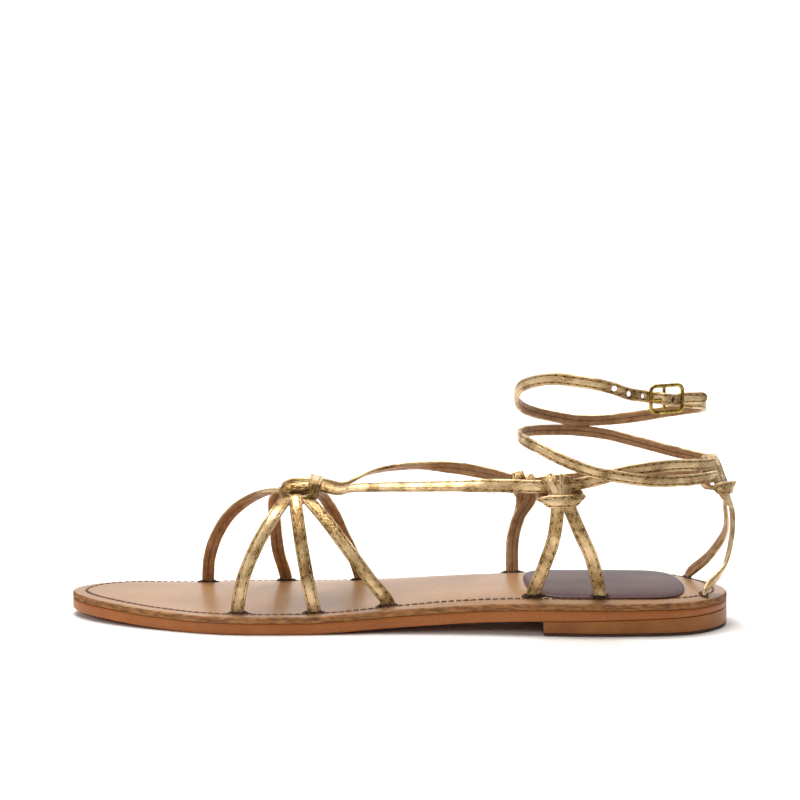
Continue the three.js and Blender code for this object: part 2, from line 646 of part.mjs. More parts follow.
// Fold of the strap's end round the bar, skived thinner than the strap.
function barFold() {
  const low = under - (STRAP_THICKNESS + FOLD_THICKNESS) / 2;
  const turn = (angle) => ({
    at: byBar(-foldRadius * Math.sin(angle), foldRadius * Math.cos(angle)),
    face: STRAP_OUT.clone().multiplyScalar(Math.cos(angle)).addScaledVector(STRAP_RUN, -Math.sin(angle)),
  });
  return [
    { at: byBar(1.1 * TAIL_LENGTH, under - STRAP_THICKNESS), face: STRAP_OUT },
    { at: byBar(rearSide, low), face: STRAP_OUT },
    { at: byBar(rearSide * 0.55, low + 1.2 * STRAP_THICKNESS), face: STRAP_OUT },
    { at: byBar(foldRadius, foldRadius * 0.85), face: STRAP_OUT },
    ...evenly(0, Math.PI, 4).map(turn),
    { at: byBar(foldRadius * 1.6, -foldRadius * 1.05), face: STRAP_OUT.clone().negate() },
    { at: byBar(rearSide * 0.62, low + 0.25 * FOLD_THICKNESS), face: STRAP_OUT.clone().negate() },
  ];
}

// Wire swept round a closed run of points in the plane across its normal.
function wireRing(points, normal, diameter) {
  const stations = points.map((centre, i) => {
    const before = points[(i + points.length - 1) % points.length];
    const after = points[(i + 1) % points.length];
    const along = after.clone().sub(before).normalize();
    const side = new THREE.Vector3().crossVectors(normal, along);
    return { centre, face: normal, side, section: wireSection(diameter, WIRE_SIDES) };
  });
  return sweep(stations, true);
}

// Straight wire between two points.
function wireBar(from, to, diameter) {
  const along = to.clone().sub(from).normalize();
  const face = Math.abs(along.dot(STRAP_OUT)) > 0.9 ? STRAP_UP : STRAP_OUT;
  const side = new THREE.Vector3().crossVectors(face, along).normalize();
  const square = new THREE.Vector3().crossVectors(along, side);
  const section = wireSection(diameter, WIRE_SIDES);
  return sweep([from, to].map((centre) => ({ centre, side, face: square, section })));
}

const onFrame = (run, up, out = 0) => BAR_CENTRE.clone()
  .addScaledVector(FRAME_RUN, run).addScaledVector(FRAME_UP, up).addScaledVector(STRAP_OUT, out);

function makeBuckleFrame(extra = 0) {
  const halfHeight = (BUCKLE_HEIGHT - BUCKLE_WIRE) / 2;
  const corners = [
    [rearSide, halfHeight, 0], [frontSide, halfHeight, 1],
    [frontSide, -halfHeight, 2], [rearSide, -halfHeight, 3],
  ];
  const points = corners.flatMap(([run, up, quarter]) => evenly(0, 1, 3).map((share) => {
    const angle = ((quarter + share) * Math.PI) / 2;
    const centreRun = run - Math.sign(run) * BUCKLE_CORNER;
    const centreUp = up - Math.sign(up) * BUCKLE_CORNER;
    return onFrame(centreRun + BUCKLE_CORNER * Math.cos(angle), centreUp + BUCKLE_CORNER * Math.sin(angle));
  }));
  const ring = wireRing(points, STRAP_OUT, BUCKLE_WIRE + 2 * extra);
  const bar = wireBar(onFrame(0, halfHeight), onFrame(0, -halfHeight), BUCKLE_WIRE + 2 * extra);
  return ring.add(bar);
}

function makeBuckleProng(extra = 0) {
  const radius = BUCKLE_WIRE / 2 + METAL_CLEARANCE + PRONG_WIRE / 2;
  const wire = PRONG_WIRE + 2 * extra;
  const round = evenly(0, 1 - 1 / EYE_STEPS, EYE_STEPS - 1).map((share) => {
    const angle = 2 * Math.PI * share;
    return onFrame(radius * Math.cos(angle), 0, radius * Math.sin(angle));
  });
  const eye = wireRing(round, FRAME_UP, wire);
  const arm = wireBar(onFrame(0, 0, radius), onFrame(frontSide - 0.75 * PRONG_WIRE, 0, radius), wire);
  return eye.add(arm);
}

// Holes of the buckle strap, through it at even steps before and behind the prong.
function strapHoles(rows) {
  const curve = new THREE.CatmullRomCurve3(rows.map((row) => row.at), false, 'centripetal');
  const fine = evenly(0, 1, 900).map((share) => ({ share, at: curve.getPointAt(share) }));
  const prong = byBar(frontSide * 0.6, (under + over) / 2);
  const nearer = (best, here) => (here.at.distanceTo(prong) < best.at.distanceTo(prong) ? here : best);
  const near = fine.reduce(nearer);
  return [-3, -2, -1, 1].map((step) => {
    const share = near.share + (step * HOLE_PITCH) / curve.getLength();
    const centre = curve.getPointAt(share);
    const along = curve.getTangentAt(share).normalize();
    const face = fromAnkle(centre);
    face.addScaledVector(along, -face.dot(along)).normalize();
    const depth = 2.5 * STRAP_THICKNESS;
    const geometry = new THREE.CylinderGeometry(HOLE_DIAMETER / 2, HOLE_DIAMETER / 2, depth, 10);
    geometry.applyQuaternion(new THREE.Quaternion().setFromUnitVectors(new THREE.Vector3(0, 1, 0), face));
    geometry.translate(centre.x, centre.y, centre.z);
    return manifoldOf(geometry);
  });
}

function upperStraps() {
  const { outer, inner } = instepRuns();
  const loop = ankleLoop();
  return [
    ...toeStraps(), ...outerKnot(), ...innerKnot(), ...vampKnot(), ...heelKnot(),
    [...outer, ...loop, inner[inner.length - 1]], inner,
  ];
}

function makeUpper() {
  const loop = buckleLoop();
  const solids = upperStraps().map((rows) => ribbon(rows));
  const fold = ribbon(barFold(), ANKLE_STRAP_WIDTH, FOLD_THICKNESS);
  const joined = wasm.Manifold.union([...solids, ribbon(loop, ANKLE_STRAP_WIDTH), fold]);
  const cuts = [makeBuckleFrame(METAL_CLEARANCE), makeBuckleProng(METAL_CLEARANCE), ...strapHoles(loop)];
  return joined.subtract(wasm.Manifold.union(cuts));
}

// Slits that the strap feet pass through: the same feet with a clearance all round.
function footSleeves() {
  const depth = INSOLE_THICKNESS + HEEL_CROWN + PATCH_THICKNESS + 2 * SEAM_GAP;
  const top = (at) => outsoleTop(at.x / SOLE_LENGTH) + depth;
  const play = 2 * SLIT_CLEARANCE;
  const ends = upperStraps().flatMap((rows) => {
    const stations = ribbonStations(rows, STRAP_WIDTH + play, STRAP_THICKNESS + play);
    const turned = stations.map((station) => ({ ...station, side: station.side.clone().negate() }));
    return [stations, turned.reverse()];
  });
  const feet = ends.map((stations) => {
    const count = stations.findIndex((station) => station.centre.z > top(station.centre)) + 1;
    return stations.slice(0, count);
  }).filter((foot) => foot.length > 1);
  return feet.map((foot) => {
    const start = { ...foot[0], centre: foot[0].centre.clone().addScaledVector(UP, -SLIT_DEPTH_BELOW) };
    return sweep([start, ...foot]);
  });
}

// Mesh of a solid in the part's colour.
function meshOf(name, solid, colour, roughness, metalness) {
  const { vertProperties, triVerts } = solid.getMesh();
  const geometry = new THREE.BufferGeometry();
  geometry.setAttribute('position', new THREE.BufferAttribute(new Float32Array(vertProperties), 3));
  geometry.setIndex(new THREE.BufferAttribute(new Uint32Array(triVerts), 1));
  geometry.computeVertexNormals();
  const material = new THREE.MeshStandardMaterial({ color: colour, roughness, metalness });
  const mesh = new THREE.Mesh(geometry, material);
  mesh.name = name;
  return mesh;
}

const slits = wasm.Manifold.union(footSleeves());
const sandal = new THREE.Group();
sandal.add(
  meshOf('outsole', makeOutsole(), 0xb57848, 0.5, 0),
  meshOf('heel_block', makeHeelBlock(), 0xa87048, 0.55, 0),
  meshOf('heel_top_piece', makeTopPiece(), 0x6e4a30, 0.7, 0),
  meshOf('insole', makeInsole().subtract(slits), 0xc9a07c, 0.35, 0),
  meshOf('heel_patch', makeHeelPatch().subtract(slits), 0x604b4f, 0.45, 0),
  meshOf('upper', makeUpper(), 0xd0b588, 0.4, 0.7),
  meshOf('buckle_frame', makeBuckleFrame(), 0xb5993c, 0.25, 1),
  meshOf('buckle_prong', makeBuckleProng(), 0xb5993c, 0.25, 1),
);
// The origin is the middle of the whole sandal's box, on the floor.
const bounds = new THREE.Box3().setFromObject(sandal);
const middle = bounds.getCenter(new THREE.Vector3());
sandal.position.set(-middle.x, -middle.y, -bounds.min.z);

export default sandal;
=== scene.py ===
"""Flat strappy gladiator sandal for a left foot: its leathers, folded gold straps, stitching, buckle and studio.

Lengths are millimetres in the sandal's drawing frame, where x runs from toe to heel, y from the outer side to the
inner side and z up from the floor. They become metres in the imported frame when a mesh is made.
"""

import logging
import math
import random
from dataclasses import dataclass, field
from enum import Enum
from typing import Any, Callable, Iterable, Sequence

import bmesh
import bpy
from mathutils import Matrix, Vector, noise


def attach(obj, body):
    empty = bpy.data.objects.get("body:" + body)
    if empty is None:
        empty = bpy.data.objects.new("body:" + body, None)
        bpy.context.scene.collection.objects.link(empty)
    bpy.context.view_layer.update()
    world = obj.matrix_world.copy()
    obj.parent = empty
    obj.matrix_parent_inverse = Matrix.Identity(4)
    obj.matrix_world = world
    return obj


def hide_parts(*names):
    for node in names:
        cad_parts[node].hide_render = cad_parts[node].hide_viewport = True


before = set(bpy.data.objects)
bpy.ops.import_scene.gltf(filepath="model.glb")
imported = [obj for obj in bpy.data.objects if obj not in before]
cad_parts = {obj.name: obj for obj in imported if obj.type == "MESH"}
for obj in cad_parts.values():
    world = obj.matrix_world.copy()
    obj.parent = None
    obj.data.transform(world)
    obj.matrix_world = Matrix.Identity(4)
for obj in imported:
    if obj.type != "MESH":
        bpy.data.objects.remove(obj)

LOG = logging.getLogger("sandal")
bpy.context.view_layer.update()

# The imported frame's origin is the middle of the sandal's box on the floor.
SHIFT = Vector((-126.919, -5.739, 0.0))
MM_PER_METRE = 1000
UP = Vector((0, 0, 1))
OUTWARD = Vector((0, -1, 0))
INWARD = Vector((0, 1, 0))


class Side(Enum):
    """Side of a left foot, as the sign of y."""

    OUTER = -1
    INNER = 1


# ---------- curves and meshes


def even_curve(values: Sequence[float], share: float) -> float:
    """Smooth curve through equally spaced values.

    Args:
        values: The values at equal steps.
        share: Place along them, from 0 to 1.

    Returns:
        The value at that place.
    """
    last = len(values) - 1
    place = share * last
    i = min(int(math.floor(place)), last - 1)
    f = place - i
    before = values[i - 1] if i > 0 else 2 * values[0] - values[1]
    after = values[i + 2] if i + 2 <= last else 2 * values[last] - values[last - 1]
    rise = (values[i + 1] - before) / 2
    fall = (after - values[i]) / 2
    step = values[i] - values[i + 1]
    return values[i] + f * (rise + f * (-3 * step - 2 * rise - fall + f * (2 * step + rise + fall)))


def table_curve(rows: Sequence[Sequence[float]], column: int, place: float) -> float:
    """Smooth curve through a column of a table, which never passes beyond its rows.

    Args:
        rows: Rows that each start with their place.
        column: The column that is read.
        place: Where it is read.

    Returns:
        The value at that place.
    """
    slopes = [(b[column] - a[column]) / (b[0] - a[0]) for a, b in zip(rows, rows[1:])]

    def tangent(k: int) -> float:
        """Slope at a row, level where the neighbours' slopes differ in sign."""
        left, right = slopes[max(k - 1, 0)], slopes[min(k, len(slopes) - 1)]
        return 2 * left * right / (left + right) if left * right > 0 else 0.0

    i = 0
    while i < len(rows) - 2 and place > rows[i + 1][0]:
        i += 1
    span = rows[i + 1][0] - rows[i][0]
    f = min(max((place - rows[i][0]) / span, 0.0), 1.0)
    ease = f * f * (3 - 2 * f)
    bend = f * (1 - f) * span * ((1 - f) * tangent(i) - f * tangent(i + 1))
    return rows[i][column] * (1 - ease) + rows[i + 1][column] * ease + bend


def grain(point: Vector, size: float) -> float:
    """Soft noise from -1 to 1 whose patches are about that many millimetres wide."""
    return noise.noise(point / size)


def tube_faces(first: int, rings: int, sides: int) -> list[tuple[int, ...]]:
    """Faces of a tube with filled ends, whose points are numbered from the first one, ring after ring.

    Args:
        first: Number of the first point.
        rings: How many rings the tube has.
        sides: Points in each ring.

    Returns:
        The faces, with the two ends last.
    """
    faces: list[tuple[int, ...]] = []
    for start in range(first, first + (rings - 1) * sides, sides):
        for m in range(sides):
            k, l = start + m, start + (m + 1) % sides
            faces.append((k, l, l + sides, k + sides))
    last = first + (rings - 1) * sides
    return [*faces, tuple(range(first, first + sides))[::-1], tuple(range(last, last + sides))]


def make_object(
    name: str,
    points: Sequence[Vector],
    faces: Sequence[Sequence[int]],
    materials: Sequence[bpy.types.Material],
    slots: Sequence[int] | None = None,
    sharp: float = 40.0,
) -> bpy.types.Object:
    """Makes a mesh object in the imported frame.

    Args:
        name: The object's name.
        points: Corners in the drawing frame, in millimetres.
        faces: Corner numbers of each face.
        materials: Materials in slot order.
        slots: Material slot of each face, or None where there is one.
        sharp: Edges that turn more than this many degrees stay sharp.

    Returns:
        The linked object.
    """
    mesh = bpy.data.meshes.new(name)
    mesh.from_pydata([(p + SHIFT) / MM_PER_METRE for p in points], [], faces)
    for material in materials:
        mesh.materials.append(material)
    if slots:
        mesh.polygons.foreach_set("material_index", slots)
    mesh.polygons.foreach_set("use_smooth", [True] * len(mesh.polygons))
    mesh.validate()
    mesh.update()
    mesh.set_sharp_from_angle(angle=math.radians(sharp))
    made = bpy.data.objects.new(name, mesh)
    bpy.context.scene.collection.objects.link(made)
    return made


def run_lengths(line: Sequence[Vector], closed: bool) -> list[float]:
    """Length run at each point of a line, and at its start again where it is closed.

    Args:
        line: The line's points.
        closed: Whether it runs back to its start.

    Returns:
        The lengths, from 0.
    """
    lengths = [0.0]
    for a, b in zip(line, [*line[1:], line[0]] if closed else line[1:]):
        lengths.append(lengths[-1] + (b - a).length)
    return lengths


def join_rings(rings: Sequence[Sequence[Vector]], closed_ends: bool) -> tuple[list[Vector], list[tuple[int, ...]]]:
    """Skins closed rings of equal length, one after another.

    Args:
        rings: The rings' points.
        closed_ends: Whether the first and last ring are filled with one face each.

    Returns:
        The points and the faces.
    """
    faces = tube_faces(0, len(rings), len(rings[0]))
    return [p for ring in rings for p in ring], faces if closed_ends else faces[:-2]


def cut_away(body: bpy.types.Object, cutters: Sequence[bpy.types.Object]) -> None:
    """Cuts the cutters' shapes out of a body and removes the cutters.

    Args:
        body: The body that is cut.
        cutters: Closed shapes.
    """
    for cutter in cutters:
        change = body.modifiers.new("cut", "BOOLEAN")
        change.operation = "DIFFERENCE"
        change.solver = "EXACT"
        change.object = cutter
    apply_changes(body)
    for cutter in cutters:
        bpy.data.objects.remove(cutter)
    keep_largest(body.data)


def copy_of(piece: bpy.types.Object) -> bpy.types.Object:
    """Linked copy of a piece with a mesh of its own.

    Args:
        piece: The piece.

    Returns:
        The copy.
    """
    copy = piece.copy()
    copy.data = piece.data.copy()
    bpy.context.scene.collection.objects.link(copy)
    return copy


def close_seams(piece: bpy.types.Object) -> None:
    """Welds the points that meet on a middle line, so that the piece is one closed body.

    Args:
        piece: The piece, whose mesh is replaced.
    """
    change = piece.modifiers.new("weld", "WELD")
    change.merge_threshold = 0.01 / MM_PER_METRE
    apply_changes(piece)


def apply_changes(piece: bpy.types.Object) -> None:
    """Puts a piece's modifiers into its mesh.

    Args:
        piece: The piece, whose mesh is replaced.
    """
    graph = bpy.context.evaluated_depsgraph_get()
    mesh = bpy.data.meshes.new_from_object(piece.evaluated_get(graph))
    piece.modifiers.clear()
    piece.data = mesh


def keep_largest(mesh: bpy.types.Mesh) -> None:
    """Drops the crumbs of a cut, so that one closed body is left.

    Args:
        mesh: The mesh, changed in place.
    """
    shape = bmesh.new()
    shape.from_mesh(mesh)
    left = set(shape.faces)
    islands: list[list[bmesh.types.BMFace]] = []
    while left:
        island = [left.pop()]
        for face in island:
            for edge in face.edges:
                for other in edge.link_faces:
                    if other in left:
                        left.remove(other)
                        island.append(other)
        islands.append(island)
    islands.sort(key=len)
    bmesh.ops.delete(shape, geom=[face for island in islands[:-1] for face in island], context="FACES")
    shape.to_mesh(mesh)
    shape.free()


def place(piece: bpy.types.Object, slot: str, *nodes: str) -> bpy.types.Object:
    """Ties a piece to the sandal under its root empty, hides the solids that it stands for and logs its face count.

    Args:
        piece: The piece.
        slot: Name of a material slot; not used.
        nodes: Names of the solids.

    Returns:
        The piece.
    """
    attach(piece, "root")
    if nodes:
        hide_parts(*nodes)
    LOG.info("%s: %d faces", piece.name, len(piece.data.polygons))
    return piece


# ---------- finishes


def linear(code: str) -> tuple[float, float, float, float]:
    """Linear colour of an sRGB hex value."""
    parts = [int(code[i : i + 2], 16) / 255 for i in (1, 3, 5)]
    return (*[c / 12.92 if c <= 0.04045 else ((c + 0.055) / 1.055) ** 2.4 for c in parts], 1.0)


def per_mm(size: float) -> float:
    """Texture scale in a metre frame whose features are that many millimetres wide."""
    return MM_PER_METRE / size


def add(tree: bpy.types.NodeTree, kind: str, inputs: dict[Any, Any] | None = None, **settings: Any) -> bpy.types.Node:
    """Adds a node.

    Args:
        tree: The node tree.
        kind: The node's type.
        inputs: Values or output sockets for its input sockets, by name or number.
        settings: Values for its own properties.

    Returns:
        The node.
    """
    made = tree.nodes.new(kind)
    for name, value in settings.items():
        setattr(made, name, value)
    for name, value in (inputs or {}).items():
        if isinstance(value, bpy.types.NodeSocket):
            tree.links.new(value, made.inputs[name])
        else:
            made.inputs[name].default_value = value
    return made


def colour_steps(made: bpy.types.Node, steps: Sequence[tuple[float, str]]) -> bpy.types.NodeSocket:
    """Sets a colour ramp's steps.

    Args:
        made: The ramp's node.
        steps: Place and hex colour of each step.

    Returns:
        The ramp's colour socket.
    """
    ramp = made.color_ramp
    while len(ramp.elements) < len(steps):
        ramp.elements.new(0.5)
    for element, (at, code) in zip(ramp.elements, steps):
        element.position = at
        element.color = linear(code)
    return made.outputs["Color"]


def new_material(name: str) -> tuple[bpy.types.Material, bpy.types.NodeTree, bpy.types.Node, bpy.types.NodeSocket]:
    """Starts a material.

    Args:
        name: The material's name.

    Returns:
        The material, its tree, its shader and the coordinates in metres.
    """
    material = bpy.data.materials.new(name)
    material.use_nodes = True
    tree = material.node_tree
    tree.nodes.clear()
    shader = add(tree, "ShaderNodeBsdfPrincipled")
    add(tree, "ShaderNodeOutputMaterial", {"Surface": shader.outputs["BSDF"]})
    where = add(tree, "ShaderNodeTexCoord")
    return material, tree, shader, where.outputs["Object"]


@dataclass(frozen=True)
class GoldFoilLeather:
    """Goat leather with a gold foil pressed on it and crackled by flexing: bright cream gold, with fine dark cracks and
    large darker patches of painted dark reflection where the cracks gather.
    """

    lit: str = "#e0c498"
    deep: str = "#b99968"
    # Colour of the painted dark reflection patches in the gold, where the cracks also gather.
    dark_reflection_and_wear: str = "#876536"
    crack: str = "#3d2a14"
    crackle_mm: float = 0.95
    patch_mm: float = 9.0

    def make(self) -> bpy.types.Material:
        """Builds the material.

        Returns:
            The material.
        """
        material, tree, shader, where = new_material("gold_foil_leather")
        clouds = add(tree, "ShaderNodeTexNoise", {"Vector": where, "Scale": per_mm(self.patch_mm), "Detail": 4.0})
        ramp = add(tree, "ShaderNodeValToRGB", {"Fac": clouds.outputs["Fac"]})
        # The darkest step paints dark reflection into the gold's colour, in large patches.
        tone = colour_steps(ramp, [(0.3, self.dark_reflection_and_wear), (0.43, self.deep), (0.6, self.lit)])
        bend = add(tree, "ShaderNodeTexNoise", {"Vector": where, "Scale": per_mm(1.4), "Detail": 2.0})
        bent = {0: bend.outputs["Color"], 1: (0.0009, 0.0009, 0.0009), 2: where}
        pushed = add(tree, "ShaderNodeVectorMath", bent, operation="MULTIPLY_ADD")
        crackle = {"Vector": pushed.outputs["Vector"], "Scale": per_mm(self.crackle_mm)}
        cells = add(tree, "ShaderNodeTexVoronoi", crackle, feature="DISTANCE_TO_EDGE")
        by_edge = {"Value": cells.outputs["Distance"], "From Min": 0.0, "From Max": 0.09, "To Min": 1.0, "To Max": 0.0}
        line = add(tree, "ShaderNodeMapRange", by_edge)
        # Cracks gather in the same patches as the painted dark reflection.
        in_dark_reflection_and_wear = {"Value": clouds.outputs["Fac"], "From Min": 0.57, "From Max": 0.38, "To Min": 0.06, "To Max": 0.9}
        dark_reflection_and_wear = add(tree, "ShaderNodeMapRange", in_dark_reflection_and_wear)
        both = {0: line.outputs["Result"], 1: dark_reflection_and_wear.outputs["Result"]}
        amount = add(tree, "ShaderNodeMath", both, operation="MULTIPLY").outputs["Value"]
        tones = {"Factor": amount, "A": tone, "B": linear(self.crack)}
        colour = add(tree, "ShaderNodeMix", tones, data_type="RGBA")
        tree.links.new(colour.outputs[2], shader.inputs["Base Color"])
        rough = add(tree, "ShaderNodeMapRange", {"Value": amount, "To Min": 0.3, "To Max": 0.55})
        tree.links.new(rough.outputs["Result"], shader.inputs["Roughness"])
        shader.inputs["Metallic"].default_value = 0.95
        fine = add(tree, "ShaderNodeTexNoise", {"Vector": where, "Scale": per_mm(0.5), "Detail": 2.0})
        sunk = {0: amount, 1: -0.8, 2: fine.outputs["Fac"]}
        height = add(tree, "ShaderNodeMath", sunk, operation="MULTIPLY_ADD").outputs["Value"]
        bump = add(tree, "ShaderNodeBump", {"Strength": 0.9, "Distance": 0.0003, "Height": height})
        tree.links.new(bump.outputs["Normal"], shader.inputs["Normal"])
        return material


@dataclass(frozen=True)
class PlainLeather:
    """Leather in one tone with soft clouds and a pebbled or fibrous surface.

    Its gloss comes from its finish: glazed, waxed, buffed or left raw.
    """

    name: str
    light: str
    dark: str
    roughness: float
    cloud_mm: float
    grain_mm: float
    relief: float
    gloss: float = 0.0
    gloss_roughness: float = 0.2
    stretch: tuple[float, float, float] = (1.0, 1.0, 1.0)
    metallic: float = 0.0
    specular: float = 0.5

    def make(self) -> bpy.types.Material:
        """Builds the material.

        Returns:
            The material.
        """
        material, tree, shader, where = new_material(self.name)
        drawn = add(tree, "ShaderNodeMapping", {"Vector": where, "Scale": self.stretch}).outputs["Vector"]
        clouds = add(tree, "ShaderNodeTexNoise", {"Vector": drawn, "Scale": per_mm(self.cloud_mm), "Detail": 5.0})
        ramp = add(tree, "ShaderNodeValToRGB", {"Fac": clouds.outputs["Fac"]})
        tone = colour_steps(ramp, [(0.3, self.dark), (0.68, self.light)])
        fine = add(tree, "ShaderNodeTexNoise", {"Vector": drawn, "Scale": per_mm(self.grain_mm), "Detail": 3.0})
        pebbles = {"Value": fine.outputs["Fac"], "From Min": 0.35, "From Max": 0.65, "To Min": 0.86, "To Max": 1.06}
        speck = add(tree, "ShaderNodeMapRange", pebbles).outputs["Result"]
        colour = add(tree, "ShaderNodeVectorMath", {0: tone, 1: speck}, operation="MULTIPLY")
        tree.links.new(colour.outputs["Vector"], shader.inputs["Base Color"])
        duller, glossier = self.roughness + 0.08, max(self.roughness - 0.08, 0.02)
        uneven = {"Value": clouds.outputs["Fac"], "To Min": duller, "To Max": glossier}
        rough = add(tree, "ShaderNodeMapRange", uneven)
        tree.links.new(rough.outputs["Result"], shader.inputs["Roughness"])
        shader.inputs["IOR"].default_value = 1.5
        shader.inputs["Metallic"].default_value = self.metallic
        shader.inputs["Specular IOR Level"].default_value = self.specular
        shader.inputs["Coat Weight"].default_value = self.gloss
        shader.inputs["Coat Roughness"].default_value = self.gloss_roughness
        raised = {"Strength": self.relief, "Distance": 0.0002, "Height": fine.outputs["Fac"]}
        bump = add(tree, "ShaderNodeBump", raised)
        tree.links.new(bump.outputs["Normal"], shader.inputs["Normal"])
        return material


# Vegetable-tanned calf, glazed: warm tan that mirrors its surroundings softly.
INSOLE_LEATHER = PlainLeather(
    "glazed_insole_leather", "#9b744d", "#825d38", 0.36, 38.0, 0.9, 0.12, 0.2, 0.22, specular=0.4
)
# The insole's cut edge, sanded but not sealed: golden brown and fuzzy.
RAW_EDGE = PlainLeather("sanded_leather_edge", "#ac7640", "#5c371b", 0.8, 1.1, 0.4, 1.0, stretch=(0.3, 0.3, 1.2))
# Bend leather with a waxed edge: orange tan with a satin sheen.
SOLE_LEATHER = PlainLeather("waxed_sole_leather", "#a8642c", "#965420", 0.44, 24.0, 0.7, 0.16, 0.1, 0.3, specular=0.3)
# Pressed leather board of the heel: duller and browner than the sole.
HEEL_BOARD = PlainLeather("pressed_heel_board", "#a2662e", "#8c5220", 0.5, 14.0, 0.6, 0.22, 0.1, 0.35, specular=0.3)
# Moulded rubber of the heel's top piece: dark and matt.
HEEL_RUBBER = PlainLeather("moulded_heel_rubber", "#5a3d28", "#3a2516", 0.7, 6.0, 0.5, 0.3)
# Plum-brown aniline leather of the heel patch: even and satin.
PATCH_LEATHER = PlainLeather("aniline_patch_leather", "#4a2c2d", "#372021", 0.4, 30.0, 0.8, 0.1, specular=0.22)
# Inner side of the folded straps: skived tan leather with a faint trace of foil.
BARE_LEATHER = PlainLeather("skived_strap_leather", "#b48a62", "#8c6440", 0.42, 3.2, 0.6, 0.45, metallic=0.35)
# Scorched, frayed leather round the slits.
FRAYED_LEATHER = PlainLeather("frayed_slit_leather", "#4a2c18", "#1f110a", 0.85, 1.2, 0.4, 0.8)
# Waxed linen thread of the sole: dark brown, with a dull gleam.
SOLE_THREAD = PlainLeather("waxed_linen_thread", "#6d431f", "#42250f", 0.5, 1.6, 0.35, 0.6)
# Polyester thread of the straps: pale gold.
STRAP_THREAD = PlainLeather("gold_polyester_thread", "#d9bb84", "#b8935c", 0.45, 1.6, 0.35, 0.4, metallic=0.3)
# The shadowed needle holes between the strap's stitches.
NEEDLE_HOLE = PlainLeather("needle_hole_shadow", "#3c2814", "#22140a", 0.9, 1.6, 0.35, 0.2)


@dataclass(frozen=True)
class CastBrass:
    """Zinc cast buckle, plated with yellow brass and tumbled: a warm mirror with darker, duller patches."""

    bright: str = "#c0a04a"
    dull: str = "#5e4a18"

    def make(self) -> bpy.types.Material:
        """Builds the material.

        Returns:
            The material.
        """
        material, tree, shader, where = new_material("tumbled_yellow_brass")
        clouds = add(tree, "ShaderNodeTexNoise", {"Vector": where, "Scale": per_mm(2.2), "Detail": 4.0})
        ramp = add(tree, "ShaderNodeValToRGB", {"Fac": clouds.outputs["Fac"]})
        tone = colour_steps(ramp, [(0.34, self.dull), (0.6, self.bright)])
        tree.links.new(tone, shader.inputs["Base Color"])
        rough = add(tree, "ShaderNodeMapRange", {"Value": clouds.outputs["Fac"], "To Min": 0.34, "To Max": 0.14})
        tree.links.new(rough.outputs["Result"], shader.inputs["Roughness"])
        shader.inputs["Metallic"].default_value = 1.0
        fine = add(tree, "ShaderNodeTexNoise", {"Vector": where, "Scale": per_mm(0.8), "Detail": 2.0})
        bump = add(tree, "ShaderNodeBump", {"Strength": 0.15, "Distance": 0.0001, "Height": fine.outputs["Fac"]})
        tree.links.new(bump.outputs["Normal"], shader.inputs["Normal"])
        return material


@dataclass(frozen=True)
class StudioPaper:
    """Pale seamless paper: even and matt."""

    light: str = "#f4f3f2"
    dark: str = "#f1f0ef"

    def make(self) -> bpy.types.Material:
        """Builds the material.

        Returns:
            The material.
        """
        material, tree, shader, where = new_material("seamless_paper")
        clouds = add(tree, "ShaderNodeTexNoise", {"Vector": where, "Scale": per_mm(60.0), "Detail": 2.0})
        ramp = add(tree, "ShaderNodeValToRGB", {"Fac": clouds.outputs["Fac"]})
        tone = colour_steps(ramp, [(0.3, self.dark), (0.7, self.light)])
        tree.links.new(tone, shader.inputs["Base Color"])
        shader.inputs["Roughness"].default_value = 0.6
        return material


# ---------- sole


